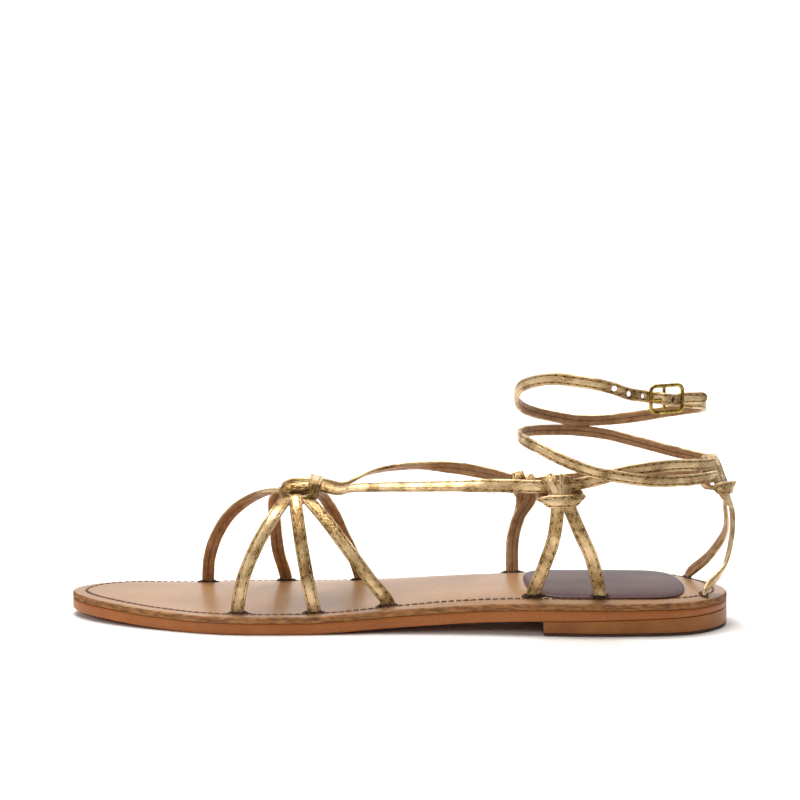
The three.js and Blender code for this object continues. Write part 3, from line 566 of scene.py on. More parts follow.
@dataclass
class SoleShape:
    """Form of the last's bottom: the outline and the heights of each layer."""

    length: float = 251.0
    ball: float = 77.0
    waist: float = 58.0
    heel: float = 61.5
    outsole: float = 4.2
    outsole_rear: float = 2.6
    insole: float = 2.4
    toe_spring: float = 2.4
    heel_lift: float = 5.2
    heel_rear_lift: float = 7.0
    breast: float = 0.715
    top_piece: float = 1.1
    ball_crown: float = 1.4
    heel_crown: float = 3.0
    slit_inset: float = 6.8
    inner_slit_inset: float = 5.4
    blunt_end: float = 0.002
    spine_front: float = 0.13
    spine_rear: float = 0.89
    # width that the half is a share of, half, and the middle's swing as a share of the ball
    plan: tuple[tuple[str, float, float], ...] = (
        ("ball", 0, 0.195), ("ball", 0.148, 0.2), ("ball", 0.278, 0.182), ("ball", 0.385, 0.145),
        ("ball", 0.479, 0.122), ("ball", 0.484, 0.12), ("waist", 0.54, 0.077), ("waist", 0.497, 0.03),
        ("heel", 0.497, 0), ("heel", 0.49, -0.006), ("heel", 0.425, -0.009), ("heel", 0.246, -0.002),
        ("heel", 0, 0),
    )  # fmt: skip
    # place along, share of the toe spring, share of the heel's lift
    under: tuple[tuple[float, float, float], ...] = (
        (0, 1, 0), (0.07, 0.62, 0), (0.14, 0.22, 0), (0.21, 0, 0), (0.36, 0, 0), (0.42, 0, 0.13), (0.48, 0, 0.33),
        (0.54, 0, 0.53), (0.6, 0, 0.74), (0.66, 0, 0.9), (0.715, 0, 1),
    )  # fmt: skip
    # place along, share of the ball's crown, share of the heel's crown
    padding: tuple[tuple[float, float, float], ...] = (
        (0, 0, 0), (0.1, 1, 0), (0.38, 1, 0.05), (0.6, 0, 1), (0.88, 0, 1), (1, 0, 0),
    )  # fmt: skip
    # place across, crown at the ball, crown at the heel
    crown: tuple[tuple[float, float, float], ...] = (
        (-1, 0, 0), (-0.8, 0.12, 0.42), (-0.4, 0.45, 0.82), (0.1, 0.85, 1), (0.55, 1, 1), (0.84, 0.75, 0.76),
        (1, 0, 0),
    )  # fmt: skip

    def turn(self, along: float) -> float:
        """Share of a half turn that stands for a share of the length."""
        return math.acos(1 - 2 * min(max(along, 0.0), 1.0)) / math.pi

    def half(self, along: float) -> float:
        """Half width at a share of the length."""
        widths = {"ball": self.ball, "waist": self.waist, "heel": self.heel}
        return even_curve([row[1] * widths[row[0]] for row in self.plan], self.turn(along))

    def centre(self, along: float) -> float:
        """Offset of the middle at a share of the length."""
        return even_curve([row[2] * self.ball for row in self.plan], self.turn(along))

    def edge(self, along: float, side: Side) -> float:
        """Offset of an edge at a share of the length."""
        return self.centre(along) + side.value * self.half(along)

    def heel_share(self, along: float) -> float:
        """Share of the heel's length behind its breast."""
        return max(0.0, (along - self.breast) / (1 - self.breast))

    def underside(self, along: float) -> float:
        """Height of the outsole's underside.

        Args:
            along: Share of the length.

        Returns:
            The height in millimetres.
        """
        front = min(along, self.breast)
        spring = self.toe_spring * table_curve(self.under, 1, front)
        lift = self.heel_lift * table_curve(self.under, 2, front)
        return spring + lift + (self.heel_rear_lift - self.heel_lift) * self.heel_share(along)

    def outsole_top(self, along: float) -> float:
        """Height of the outsole's upper face."""
        return self.underside(along) + self.outsole - (self.outsole - self.outsole_rear) * self.heel_share(along)

    def footbed(self, x: float, y: float) -> float:
        """Height of the insole's upper face at a point.

        Args:
            x: Distance from the toe.
            y: Offset to the inner side.

        Returns:
            The height in millimetres.
        """
        along = min(max(x / self.length, 0.0), 1.0)
        across = min(max((y - self.centre(along)) / max(self.half(along), 0.5), -1.0), 1.0)
        ball = self.ball_crown * table_curve(self.padding, 1, along) * table_curve(self.crown, 1, across)
        heel = self.heel_crown * table_curve(self.padding, 2, along) * table_curve(self.crown, 2, across)
        return self.outsole_top(along) + self.insole + ball + heel

    def outline(self, steps: int, inset: Callable[[int], float] | float = 0.0) -> list[Vector]:
        """Outline of the sole, drawn in by an inset.

        Args:
            steps: Stations along one side.
            inset: How far it is drawn in, the same all round or by the point's number.

        Returns:
            The points, from the toe along the inner side and back along the outer side.
        """
        base: list[Vector] = []
        for i in range(2 * steps):
            inner = i <= steps
            turn = (i if inner else 2 * steps - i) / steps
            turn = min(max(turn, self.blunt_end), 1 - self.blunt_end)
            along = (1 - math.cos(math.pi * turn)) / 2
            side = Side.INNER if inner else Side.OUTER
            y = self.edge(along, side) if 0 < i % steps else self.centre(along)
            base.append(Vector((along * self.length, y, 0)))
        drawn = []
        for i, point in enumerate(base):
            run = (base[(i + 1) % len(base)] - base[i - 1]).normalized()
            amount = inset(i) if callable(inset) else inset
            drawn.append(point + Vector((run.y, -run.x, 0)) * amount)
        return drawn

    def spine(self, x: float) -> Vector:
        """Point of the sole's middle line that its outline runs in to."""
        x = min(max(x, self.spine_front * self.length), self.spine_rear * self.length)
        return Vector((x, self.centre(x / self.length), 0))


@dataclass
class Sole:
    """Insole, outsole, heel and heel patch, with the lockstitch round the insole."""

    shape: SoleShape = field(default_factory=SoleShape)
    steps: int = 190
    stitch_inset: float = 5.2
    inner_stitch_inset: float = 2.2
    stitch_pitch: float = 2.7
    stitch_length: float = 2.5
    stitch_slant: float = 0.2
    stitch_stray: float = 0.14
    thread_sides: int = 6
    thread_half_width: float = 0.44
    thread_half_height: float = 0.3
    thread_lift: float = 0.22
    groove_depth: float = 0.35
    patch_thickness: float = 0.6
    patch_length: float = 60.0
    patch_rear: float = 0.933
    patch_inset: float = 5.2
    patch_squareness: float = 6.0
    patch_corner: float = 2.4
    patch_end: float = 9.0
    rib_pitch: float = 1.25
    crease_depth: float = 0.14
    crease_width: float = 2.6
    layer_gap: float = 0.05
    breast_bow: float = 1.1
    # place along, tilt across and reach to the sides, as a share of the half width
    ball_creases: tuple[tuple[float, float, float], ...] = ((0.255, 0.1, 0.8), (0.292, 0.06, 1.0), (0.331, -0.02, 0.7))
    # place along, share of the inner side's inset
    seam_shift: tuple[tuple[float, float], ...] = ((0, 0), (0.05, 0), (0.16, 1), (0.86, 1), (0.96, 0), (1, 0))
    # share of the patch's size, rise over the footbed
    patch_levels: tuple[tuple[float, float], ...] = ((0.985, 0.3), (1.0, 0.36), (0.997, 0.52), (0.985, 0.7))

    def seam_inset(self, i: int) -> float:
        """Inset of the lockstitch at a point of the outline: nearer the edge along the inner side.

        Args:
            i: The point's number.

        Returns:
            The inset in millimetres.
        """
        turn = i / self.steps if i <= self.steps else 0.0
        along = (1 - math.cos(math.pi * turn)) / 2
        share = table_curve(self.seam_shift, 1, along)
        return self.stitch_inset + (self.inner_stitch_inset - self.stitch_inset) * share

    def creases(self, point: Vector) -> float:
        """Soft troughs and ridges that flexing leaves across the ball of the insole.

        Args:
            point: Point of the upper face.

        Returns:
            The change of its height.
        """
        total = 0.0
        for along, tilt, reach in self.ball_creases:
            middle = along * self.shape.length + tilt * point.y
            off = (point.x - middle) / self.crease_width
            side = abs(point.y - self.shape.centre(along)) / (self.shape.half(along) * reach)
            total += (2 * off * off - 1) * math.exp(-off * off) * max(0.0, 1 - side * side)
        return total * self.crease_depth

    def ringed(
        self,
        name: str,
        rings: Iterable[tuple[Callable[[int], float] | float, Callable[[Vector], float]]],
        inward: Sequence[float],
        materials: Sequence[bpy.types.Material],
        slots: Callable[[int], int] = lambda ring: 0,
    ) -> bpy.types.Object:
        """Closed piece with the sole's outline, skinned over rings from its lower to its upper middle.

        Args:
            name: The piece's name.
            rings: Inset and height of each ring.
            inward: Shares of the way to the middle line, for the rings inside the first and the last one.
            materials: Materials in slot order.
            slots: Material slot of each ring.

        Returns:
            The object.
        """
        made: list[list[Vector]] = []
        rows = list(rings)
        for inset, height in rows:
            ring = [p.copy() for p in self.shape.outline(self.steps, inset)]
            for p in ring:
                p.z = height(p)
            made.append(ring)
        first, last = made[0], made[-1]
        low, high = rows[0][1], rows[-1][1]

        def drawn_in(ring: list[Vector], share: float, height: Callable[[Vector], float]) -> list[Vector]:
            """Ring moved a share of the way to the middle line.

            Args:
                ring: The ring.
                share: Share of the way.
                height: Height at a point.

            Returns:
                The moved ring.
            """
            moved = []
            for i, p in enumerate(ring):
                opposite = ring[-i]
                flat = Vector((p.x, p.y, 0)).lerp(self.shape.spine((p.x + opposite.x) / 2), share)
                flat.z = height(flat)
                moved.append(flat)
            return moved

        bottom = [drawn_in(first, share, low) for share in (1.0, 0.5)]
        top = [drawn_in(last, share, high) for share in inward]
        every = bottom + made + top
        points, faces = join_rings(every, False)
        count = len(every[0])
        kinds = [slots(i - len(bottom)) for i in range(len(every) - 1) for _ in range(count)]
        piece = make_object(name, points, [f[::-1] for f in faces], materials, kinds)
        close_seams(piece)
        return piece

    def insole(self, cutters: Sequence[bpy.types.Object]) -> bpy.types.Object:
        """Insole with its sanded edge, stitch groove, creases and slits.

        Args:
            cutters: Shapes of the slits, used up here.

        Returns:
            The insole.
        """
        shape = self.shape

        def low(p: Vector) -> float:
            """Height of the lower face."""
            return shape.outsole_top(p.x / shape.length) + self.layer_gap

        def at_share(share: float) -> Callable[[Vector], float]:
            """Height between the insole's two faces, uneven by some hundredths."""
            return lambda p: low(p) + share * (shape.footbed(p.x, p.y) - low(p)) + 0.05 * grain(p, 1.6)

        def top(drop: float = 0.0) -> Callable[[Vector], float]:
            """Height of the upper face, lowered by a drop."""
            return lambda p: shape.footbed(p.x, p.y) - drop + self.creases(p)

        def fuzzy(inset: float) -> Callable[[int], float]:
            """Inset of the sanded edge, uneven by some hundredths."""
            return lambda i: inset + 0.07 * noise.noise(Vector((i * 0.37, inset * 3, 0)))

        def seam(offset: float) -> Callable[[int], float]:
            """Inset beside the stitch line."""
            return lambda i: self.seam_inset(i) + offset

        deep = self.groove_depth
        rings = [
            (0.35, low), (fuzzy(0.12), at_share(0.08)), (fuzzy(0.0), at_share(0.25)), (fuzzy(-0.03), at_share(0.45)),
            (fuzzy(0.0), at_share(0.66)), (fuzzy(0.1), at_share(0.84)), (0.34, at_share(0.95)), (0.7, top(0.05)),
            (1.3, top()), (seam(-1.2), top()), (seam(-0.55), top(0.02)), (seam(-0.28), top(deep * 0.6)),
            (seam(0.0), top(deep)), (seam(0.28), top(deep * 0.6)), (seam(0.55), top(0.02)), (seam(1.3), top()),
            (9.5, top()),
        ]  # fmt: skip
        inward = [k / 12 for k in range(1, 13)]
        materials = [INSOLE_LEATHER.make(), RAW_EDGE.make()]
        edge = range(7)
        piece = self.ringed("insole_leather", rings, inward, materials, lambda ring: 1 if ring in edge else 0)
        cut_away(piece, cutters)
        return place(piece, "insole_leather", "insole")

    def outsole(self) -> bpy.types.Object:
        """Outsole with its waxed edge, eased at the top and bottom.

        Returns:
            The outsole.
        """
        shape = self.shape

        def low(rise: float) -> Callable[[Vector], float]:
            """Height above the underside."""
            return lambda p: shape.underside(p.x / shape.length) + rise

        def high(drop: float) -> Callable[[Vector], float]:
            """Height below the upper face."""
            return lambda p: shape.outsole_top(p.x / shape.length) - drop

        rings = [
            (2.0, low(0.0)), (0.75, low(0.0)), (0.3, low(0.14)), (0.06, low(0.5)), (0.0, low(1.1)),
            (0.0, high(1.1)), (0.04, high(0.45)), (0.22, high(0.12)), (0.6, high(0.02)), (3.0, high(0.0)),
        ]  # fmt: skip
        piece = self.ringed("outsole_leather", rings, [0.5, 1.0], [SOLE_LEATHER.make()])
        return place(piece, "sole_leather", "outsole")

    def heel_outline(self, inset: Callable[[float], float] | float, steps: int = 520) -> list[Vector]:
        """Outline of the heel, from its breast round the rear and straight back across the breast.

        Args:
            inset: How far it is drawn in, the same all round or by the length run.
            steps: Points round the heel.

        Returns:
            The points.
        """
        shape = self.shape
        start = shape.turn(shape.breast)
        raw: list[Vector] = []
        count, across = 260, 40
        for i in range(2 * count + 1):
            inner = i <= count
            f = i / count if inner else (2 * count - i) / count
            turn = min(start + (1 - start) * f, 0.999)
            along = (1 - math.cos(math.pi * turn)) / 2
            side = Side.INNER if inner else Side.OUTER
            y = shape.edge(along, side) if i != count else shape.centre(along)
            raw.append(Vector((along * shape.length, y, 0)))
        corner, start_point = raw[-1], raw[0]
        for k in range(1, across):
            bow = Vector((self.breast_bow * math.sin(math.pi * k / across), 0, 0))
            raw.append(corner.lerp(start_point, k / across) + bow)
        lengths = run_lengths(raw, True)
        ring = []
        k = 0
        for i in range(steps):
            want = lengths[-1] * i / steps
            while lengths[k + 1] < want:
                k += 1
            f = (want - lengths[k]) / max(lengths[k + 1] - lengths[k], 1e-9)
            ring.append(raw[k].lerp(raw[(k + 1) % len(raw)], f))
        inside = 0.86
        middle = Vector((inside * shape.length, shape.centre(inside), 0))
        drawn = []
        for i, point in enumerate(ring):
            run = (ring[(i + 2) % steps] - ring[i - 2]).normalized()
            amount = inset(lengths[-1] * i / steps) if callable(inset) else inset
            out = Vector((run.y, -run.x, 0))
            if out.dot(point - middle) < 0:
                out.negate()
            drawn.append(point - out * amount)
        return drawn

    def heel_layer(
        self, name: str, rings: Sequence[tuple[Callable[[float], float] | float, Callable[[Vector], float]]],
        material: bpy.types.Material,
    ) -> bpy.types.Object:  # fmt: skip
        """Closed layer of the heel, from rings of an inset and a height.

        Args:
            name: The layer's name.
            rings: Inset and height of each ring.
            material: Its material.

        Returns:
            The layer.
        """
        made = [[Vector((p.x, p.y, height(p))) for p in self.heel_outline(inset)] for inset, height in rings]
        points, faces = join_rings(made, True)
        return make_object(name, points, [f[::-1] for f in faces], [material], sharp=50)

    def heel(self) -> list[bpy.types.Object]:
        """Heel block and top piece with its finely ribbed lower edge.

        Returns:
            The block and the top piece.
        """
        shape = self.shape

        def under(p: Vector, drop: float) -> float:
            """Height below the outsole's underside."""
            return shape.underside(p.x / shape.length) - drop

        base = shape.top_piece
        block = self.heel_layer(
            "heel_block_board",
            [
                (0.3, lambda p: base + 0.02), (0.05, lambda p: base + 0.14), (0.0, lambda p: base + 0.5),
                (0.0, lambda p: under(p, 0.5)), (0.06, lambda p: under(p, 0.12)), (0.3, lambda p: under(p, 0.01)),
            ],
            HEEL_BOARD.make(),
        )  # fmt: skip

        def ribbed(depth: float, base_inset: float) -> Callable[[float], float]:
            """Inset of the ribbed edge."""
            return lambda run: base_inset + depth * (0.5 + 0.5 * math.cos(2 * math.pi * run / self.rib_pitch))

        top = self.heel_layer(
            "heel_top_piece_rubber",
            [
                (0.7, lambda p: 0.0), (ribbed(0.45, 0.12), lambda p: 0.06), (ribbed(0.4, 0.0), lambda p: 0.5),
                (ribbed(0.1, 0.0), lambda p: 0.74), (0.02, lambda p: base - 0.1), (0.3, lambda p: base),
            ],
            HEEL_RUBBER.make(),
        )  # fmt: skip
        return [place(block, "heel_stack", "heel_block"), place(top, "heel_rubber", "heel_top_piece")]

    def patch_point(self, turn: float, across: float) -> Vector:
        """Point of the patch at a share of its half turn and across it.

        Args:
            turn: Share of the half turn, from the rear.
            across: Share across, from -1 to 1.

        Returns:
            The point on the floor.
        """
        shape = self.shape
        bend = math.cos(math.pi * turn)
        along = self.patch_rear - self.patch_length / shape.length * (1 + bend) / 2
        rounding = (1 - abs(bend) ** self.patch_squareness) ** (1 / self.patch_corner)
        y = shape.centre(along) + across * (shape.heel / 2 - self.patch_inset) * rounding
        return Vector((along * shape.length, y, 0))

    def patch(self, cutters: Sequence[bpy.types.Object]) -> bpy.types.Object:
        """Bare leather patch on the footbed's heel, with pared edges.

        Args:
            cutters: Shapes of the slits, used up here.

        Returns:
            The patch.
        """
        shape = self.shape
        steps, blunt_end = 84, 0.012
        rings: list[list[Vector]] = []
        middle = Vector((shape.length * (self.patch_rear - self.patch_length / shape.length / 2), 0, 0))
        for spread, rise in self.patch_levels:
            ring = []
            for i in range(2 * steps):
                inner = i <= steps
                turn = (i if inner else 2 * steps - i) / steps
                turn = min(max(turn, blunt_end), 1 - blunt_end)
                p = self.patch_point(turn, (1 if inner else -1) * (1.0 if 0 < i % steps else 0.0))
                p = middle + (p - middle) * spread
                p.z = shape.footbed(p.x, p.y) + rise
                ring.append(p)
            rings.append(ring)
        front = shape.length * self.patch_rear - self.patch_length + self.patch_end
        rear = shape.length * self.patch_rear - self.patch_end

        def drawn(ring: list[Vector], share: float, rise: float) -> list[Vector]:
            """Ring moved a share of the way to the patch's middle line.

            Args:
                ring: The ring.
                share: Share of the way.
                rise: Height over the footbed.

            Returns:
                The moved ring.
            """
            moved = []
            for p in ring:
                x = min(max(p.x, front), rear)
                q = Vector((p.x, p.y, 0)).lerp(Vector((x, shape.centre(x / shape.length), 0)), share)
                q.z = shape.footbed(q.x, q.y) + rise
                moved.append(q)
            return moved

        seat, pared = self.patch_levels[0][1], 0.86
        every = [drawn(rings[0], share, seat) for share in (1.0, 0.5)] + rings
        for k in range(1, 11):
            rise = seat + self.patch_thickness * min(1.0, pared + k / 10)
            every.append(drawn(rings[-1], k / 10, rise))
        points, faces = join_rings(every, False)
        piece = make_object("heel_patch_leather", points, [f[::-1] for f in faces], [PATCH_LEATHER.make()])
        close_seams(piece)
        cut_away(piece, cutters)
        return place(piece, "patch_leather", "heel_patch")

    def lockstitch(self) -> bpy.types.Object:
        """Waxed stitches round the insole, each slanting a little in its groove.

        Returns:
            All the stitches as one piece.
        """
        shape = self.shape
        line = shape.outline(self.steps * 3, lambda i: self.seam_inset(i // 3))
        lengths = run_lengths(line, True)
        total = lengths[-1]
        count = int(total / self.stitch_pitch)
        points: list[Vector] = []
        faces: list[tuple[int, ...]] = []
        k = 0
        draw = random.Random(7)
        shares, sides = (-1.0, -0.8, -0.35, 0.35, 0.8, 1.0), self.thread_sides
        for n in range(count):
            want = total * n / count
            while lengths[k + 1] < want:
                k += 1
            f = (want - lengths[k]) / (lengths[k + 1] - lengths[k])
            at = line[k].lerp(line[(k + 1) % len(line)], f)
            run = (line[(k + 3) % len(line)] - line[k - 3]).normalized()
            side = Vector((-run.y, run.x, 0))
            run = (run + side * (self.stitch_slant + 0.12 * draw.uniform(-1, 1))).normalized()
            side = Vector((-run.y, run.x, 0))
            at += side * draw.uniform(-self.stitch_stray, self.stitch_stray)
            half = self.stitch_length / 2 * draw.uniform(0.9, 1.08)
            start = len(points)
            for share in shares:
                q = at + run * half * share
                seat = shape.footbed(q.x, q.y) - self.groove_depth
                swell = math.sqrt(max(1 - abs(share) ** 3, 0.0))
                for m in range(sides):
                    angle = math.pi * 2 * m / sides
                    off = side * math.cos(angle) * (self.thread_half_width * swell + 0.08)
                    rise = math.sin(angle) * (self.thread_half_height * swell + 0.05) + self.thread_lift + 0.12 * swell
                    points.append(Vector((q.x, q.y, seat + rise)) + off)
            faces += tube_faces(start, len(shares), sides)
        piece = make_object("insole_lockstitch", points, [f[::-1] for f in faces], [SOLE_THREAD.make()])
        return place(piece, "insole_leather")


# ---------- straps


@dataclass
class Row:
    """Point of a strap's route, the way its outer face looks there and its share of the full width."""

    at: Vector
    face: Vector
    wide: float = 1.0


@dataclass
class Station:
    """Place along a strap: its centre, its three directions, its width share and the length run so far."""

    at: Vector
    run: Vector
    side: Vector
    face: Vector
    wide: float
    length: float


def centripetal(points: Sequence[Vector], place_at: float) -> Vector:
    """Point of the centripetal curve through the points, at a place counted in points.

    Args:
        points: The points.
        place_at: The place, where 1.5 is halfway from the second to the third point.

    Returns:
        The point there.
    """
    last = len(points) - 1
    i = min(int(place_at), last - 1)
    f = place_at - i
    p1, p2 = points[i], points[i + 1]
    p0 = points[i - 1] if i > 0 else 2 * p1 - p2
    p3 = points[i + 2] if i + 2 <= last else 2 * p2 - p1
    d0, d1, d2 = ((a - b).length ** 0.5 for a, b in ((p0, p1), (p1, p2), (p2, p3)))
    d1 = d1 if d1 > 1e-4 else 1.0
    d0 = d0 if d0 > 1e-4 else d1
    d2 = d2 if d2 > 1e-4 else d1
    t1 = ((p1 - p0) / d0 - (p2 - p0) / (d0 + d1) + (p2 - p1) / d1) * d1
    t2 = ((p2 - p1) / d1 - (p3 - p1) / (d1 + d2) + (p3 - p2) / d2) * d1
    return p1 + f * (t1 + f * (-3 * p1 + 3 * p2 - 2 * t1 - t2 + f * (2 * p1 - 2 * p2 + t1 + t2)))


def stations(rows: Sequence[Row], step: float = 0.7) -> list[Station]:
    """Stations at equal steps along a strap's route.

    Args:
        rows: The route.
        step: Their spacing in millimetres.

    Returns:
        The stations.
    """
    points = [row.at for row in rows]
    fine, ahead = 24, 0.02
    last = len(rows) - 1
    places = [k / fine for k in range(last * fine + 1)]
    line = [centripetal(points, p) for p in places]
    lengths = run_lengths(line, False)
    count = max(2, int(lengths[-1] / step))
    made: list[Station] = []
    k = 0
    for n in range(count + 1):
        want = lengths[-1] * n / count
        while k < len(line) - 2 and lengths[k + 1] < want:
            k += 1
        f = (want - lengths[k]) / max(lengths[k + 1] - lengths[k], 1e-9)
        spot = places[k] + f / fine
        before, after = max(spot - ahead, 0.0), min(spot + ahead, last - 1e-6)
        run = (centripetal(points, after) - centripetal(points, before)).normalized()
        i = min(int(spot), last - 1)
        g = spot - i
        face = rows[i].face.lerp(rows[i + 1].face, g)
        face = (face - run * face.dot(run)).normalized()
        wide = rows[i].wide * (1 - g) + rows[i + 1].wide * g
        made.append(Station(line[k].lerp(line[k + 1], f), run, face.cross(run).normalized(), face, wide, want))
    return made


@dataclass
class StrapRoutes:
    """Routes of the straps, from the same sizes and points as the solid upper."""

    shape: SoleShape
    width: float = 5.0
    ankle_width: float = 4.4
    thickness: float = 1.6
    vamp: float = 48.5
    knot: float = 55.0
    loop: float = 71.0
    loop_rise: float = 20.5
    buckle_length: float = 15.6
    wire: float = 1.4
    fold: float = 1.2
    clearance: float = 0.35
    tongue: float = 20.8
    tail: float = 14.0
    set_back: float = 1.2
    tip: float = 0.17

    def fore(self, along: float, across: float, up: float) -> Vector:
        """Point over the forefoot."""
        return Vector((along * self.shape.length, across * self.shape.ball, up * self.vamp))

    def beside(self, along: float, across: float, up: float) -> Vector:
        """Point beside the rear foot."""
        return Vector((along * self.shape.length, across * self.shape.heel, up * self.knot))

    def ankle(self, along: float, across: float, up: float) -> Vector:
        """Point round the ankle."""
        return Vector((along * self.shape.length, across * self.shape.heel, up * self.loop))

    def high_loop(self, along: float, across: float, up: float) -> Vector:
        """Point of the buckle loop."""
        seat = 0.98 * self.loop + 0.92 * self.ankle_width
        return Vector((along * self.shape.length, across * self.shape.heel, seat + up * self.loop_rise))

    def from_foot(self, at: Vector) -> Row:
        """Row whose face looks away from the middle of the foot."""
        middle = Vector((at.x, self.shape.centre(at.x / self.shape.length), self.vamp * 0.45))
        return Row(at, (at - middle).normalized())

    def from_ankle(self, at: Vector, wide: float = 1.0) -> Row:
        """Row whose face looks away from the middle of the ankle."""
        return Row(at, Vector((at.x - self.shape.length * 0.825, at.y, 0)).normalized(), wide)

    def foot(self, along: float, side: Side, look: Vector, inset: float | None = None) -> list[Row]:
        """Foot of a strap in its slit.

        Args:
            along: The slit's share of the length.
            side: The slit's side.
            look: The way the outer face looks.
            inset: Distance from the edge, or None for the side's usual one.

        Returns:
            The lower and the upper row.
        """
        shape = self.shape
        usual = shape.slit_inset if side is Side.OUTER else shape.inner_slit_inset
        y = shape.edge(along, side) - side.value * (usual if inset is None else inset)
        low = shape.outsole_top(along) + 0.3
        high = low + shape.insole + shape.heel_crown / 2
        return [Row(Vector((along * shape.length, y, z)), look) for z in (low, high)]

    def toe_straps(self) -> dict[str, list[Row]]:
        """Three straps over the toes, from their outer to their inner slits.

        Returns:
            The routes by name.
        """
        # outer slit, inner slit, then the route: place along, across and up, as shares of the sizes in fore
        tables = {
            "front": (0.267, 0.199, (
                (0.274, -0.272, 0.38), (0.286, -0.262, 0.553), (0.302, -0.235, 0.724), (0.318, -0.19, 0.857),
                (0.33, -0.1, 0.94), (0.341, 0.06, 0.99), (0.313, 0.2, 0.985), (0.272, 0.325, 0.89),
                (0.237, 0.41, 0.74), (0.214, 0.455, 0.55), (0.202, 0.475, 0.36),
            )),
            "middle": (0.379, 0.323, (
                (0.373, -0.275, 0.32), (0.364, -0.24, 0.55), (0.356, -0.175, 0.77), (0.349, -0.05, 0.96),
                (0.349, 0.07, 1.02), (0.327, 0.18, 1.0), (0.311, 0.28, 0.9), (0.309, 0.41, 0.66),
                (0.312, 0.455, 0.44),
            )),
            "rear": (0.488, 0.443, (
                (0.463, -0.265, 0.39), (0.432, -0.235, 0.6), (0.397, -0.15, 0.82), (0.366, -0.02, 0.97),
                (0.36, 0.08, 1.0), (0.372, 0.19, 0.985), (0.387, 0.3, 0.905), (0.402, 0.39, 0.75),
                (0.417, 0.435, 0.56), (0.432, 0.455, 0.38),
            )),
        }  # fmt: skip
        return {
            name: [
                *self.foot(start, Side.OUTER, OUTWARD),
                *[self.from_foot(self.fore(*row)) for row in rows],
                *self.foot(end, Side.INNER, INWARD)[::-1],
            ]
            for name, (start, end, rows) in tables.items()
        }

    def larks_head(
        self, centre: Vector, along: Vector, out: Vector, up: Vector, high: float, deep: float,
        spread: float, reach: float, legs: Sequence[Sequence[Row]], splay: float = 1.0, roll: float = 0.0,
        pinch: float = 1.0,
    ) -> list[list[Row]]:  # fmt: skip
        """Strap doubled over a rail, with its bight as a bar across its own legs.

        Args:
            centre: Middle of the rail.
            along: The rail's direction.
            out: Away from the foot.
            up: Over the rail.
            high: The rail's half height.
            deep: The rail's half depth.
            spread: How far the legs stand apart, as a share of the strap's width.
            reach: The bar's half length, as a share of the strap's width.
            legs: Rows of each leg, up to the knot.
            splay: How much the strands part over the rail.
            roll: How far the strands' faces lean to their own sides.
            pinch: How much the strap gathers at the bar's ends.

        Returns:
            The two strands, each from its leg to the middle of the bar.
        """
        w, t = self.width, self.thickness
        lie = deep + t / 2

        def at(a: float, b: float, c: float) -> Vector:
            """Point of the knot."""
            return centre + along * a + out * b + up * c

        strands = []
        for hand, leg in zip((-1, 1), legs):
            h = hand * w

            def look(b: float, c: float, lean: float = hand * roll) -> Vector:
                """Direction of the outer face."""
                return (out * b + up * c + along * lean).normalized()

            # along the rail, outward and up from its middle, the face's look and the share of the full width
            strands.append([
                *leg,
                Row(at(h * spread, lie + 0.3 * t, -high - 0.55 * w), look(1, 0)),
                Row(at(h * spread, lie + 0.1 * t, -high * 0.3), look(1, 0)),
                Row(at(h * (spread + 0.16 * splay), lie - 0.1 * t, high * 0.7), look(1, 0.25)),
                Row(at(h * (spread + 0.32 * splay), 0, high + 0.75 * t), look(0, 1)),
                Row(at(h * (spread + 0.42 * splay), -lie, high * 0.6), look(-1, 0.2)),
                Row(at(h * (0.5 * spread + 0.55 * reach), -lie, -high * 0.5), look(-1, -0.2), 1 - 0.15 * pinch),
                Row(at(h * 0.93 * reach, -0.3 * t, -high - 0.35 * w), look(0, -1), 1 - 0.3 * pinch),
                Row(at(h * 0.86 * reach, lie + 0.7 * t, -high - 0.4 * w), look(0.75, -0.65), 1 - 0.25 * pinch),
                Row(at(h * 0.5 * reach, lie + 1.3 * t, -high - 0.48 * w), look(1, 0)),
                Row(at(0, lie + 1.4 * t, -high - 0.5 * w), look(1, 0, 0)),
            ])  # fmt: skip
        return strands

    def joined(self, strands: Sequence[Sequence[Row]]) -> list[Row]:
        """Both strands as one strap through the middle of the bar."""
        return [*strands[0], *list(strands[1])[-2::-1]]

    def outer_tie(self) -> list[Row]:
        """Tie at the outer side.

        Returns:
            The route.
        """
        legs = [
            [*self.foot(0.701, Side.OUTER, OUTWARD), Row(self.beside(0.716, -0.455, 0.47), OUTWARD),
             Row(self.beside(0.729, -0.505, 0.68), OUTWARD)],
            [*self.foot(0.799, Side.OUTER, OUTWARD), Row(self.beside(0.784, -0.465, 0.52), OUTWARD),
             Row(self.beside(0.768, -0.505, 0.68), OUTWARD)],
        ]  # fmt: skip
        return self.joined(self.larks_head(
            self.beside(0.735, -0.505, 1.003), Vector((0.99, -0.03, 0.05)).normalized(), OUTWARD,
            Vector((-0.22, 0, 1)).normalized(), self.width / 2, self.thickness / 2, 0.36, 1.55, legs, roll=0.4,
        ))  # fmt: skip

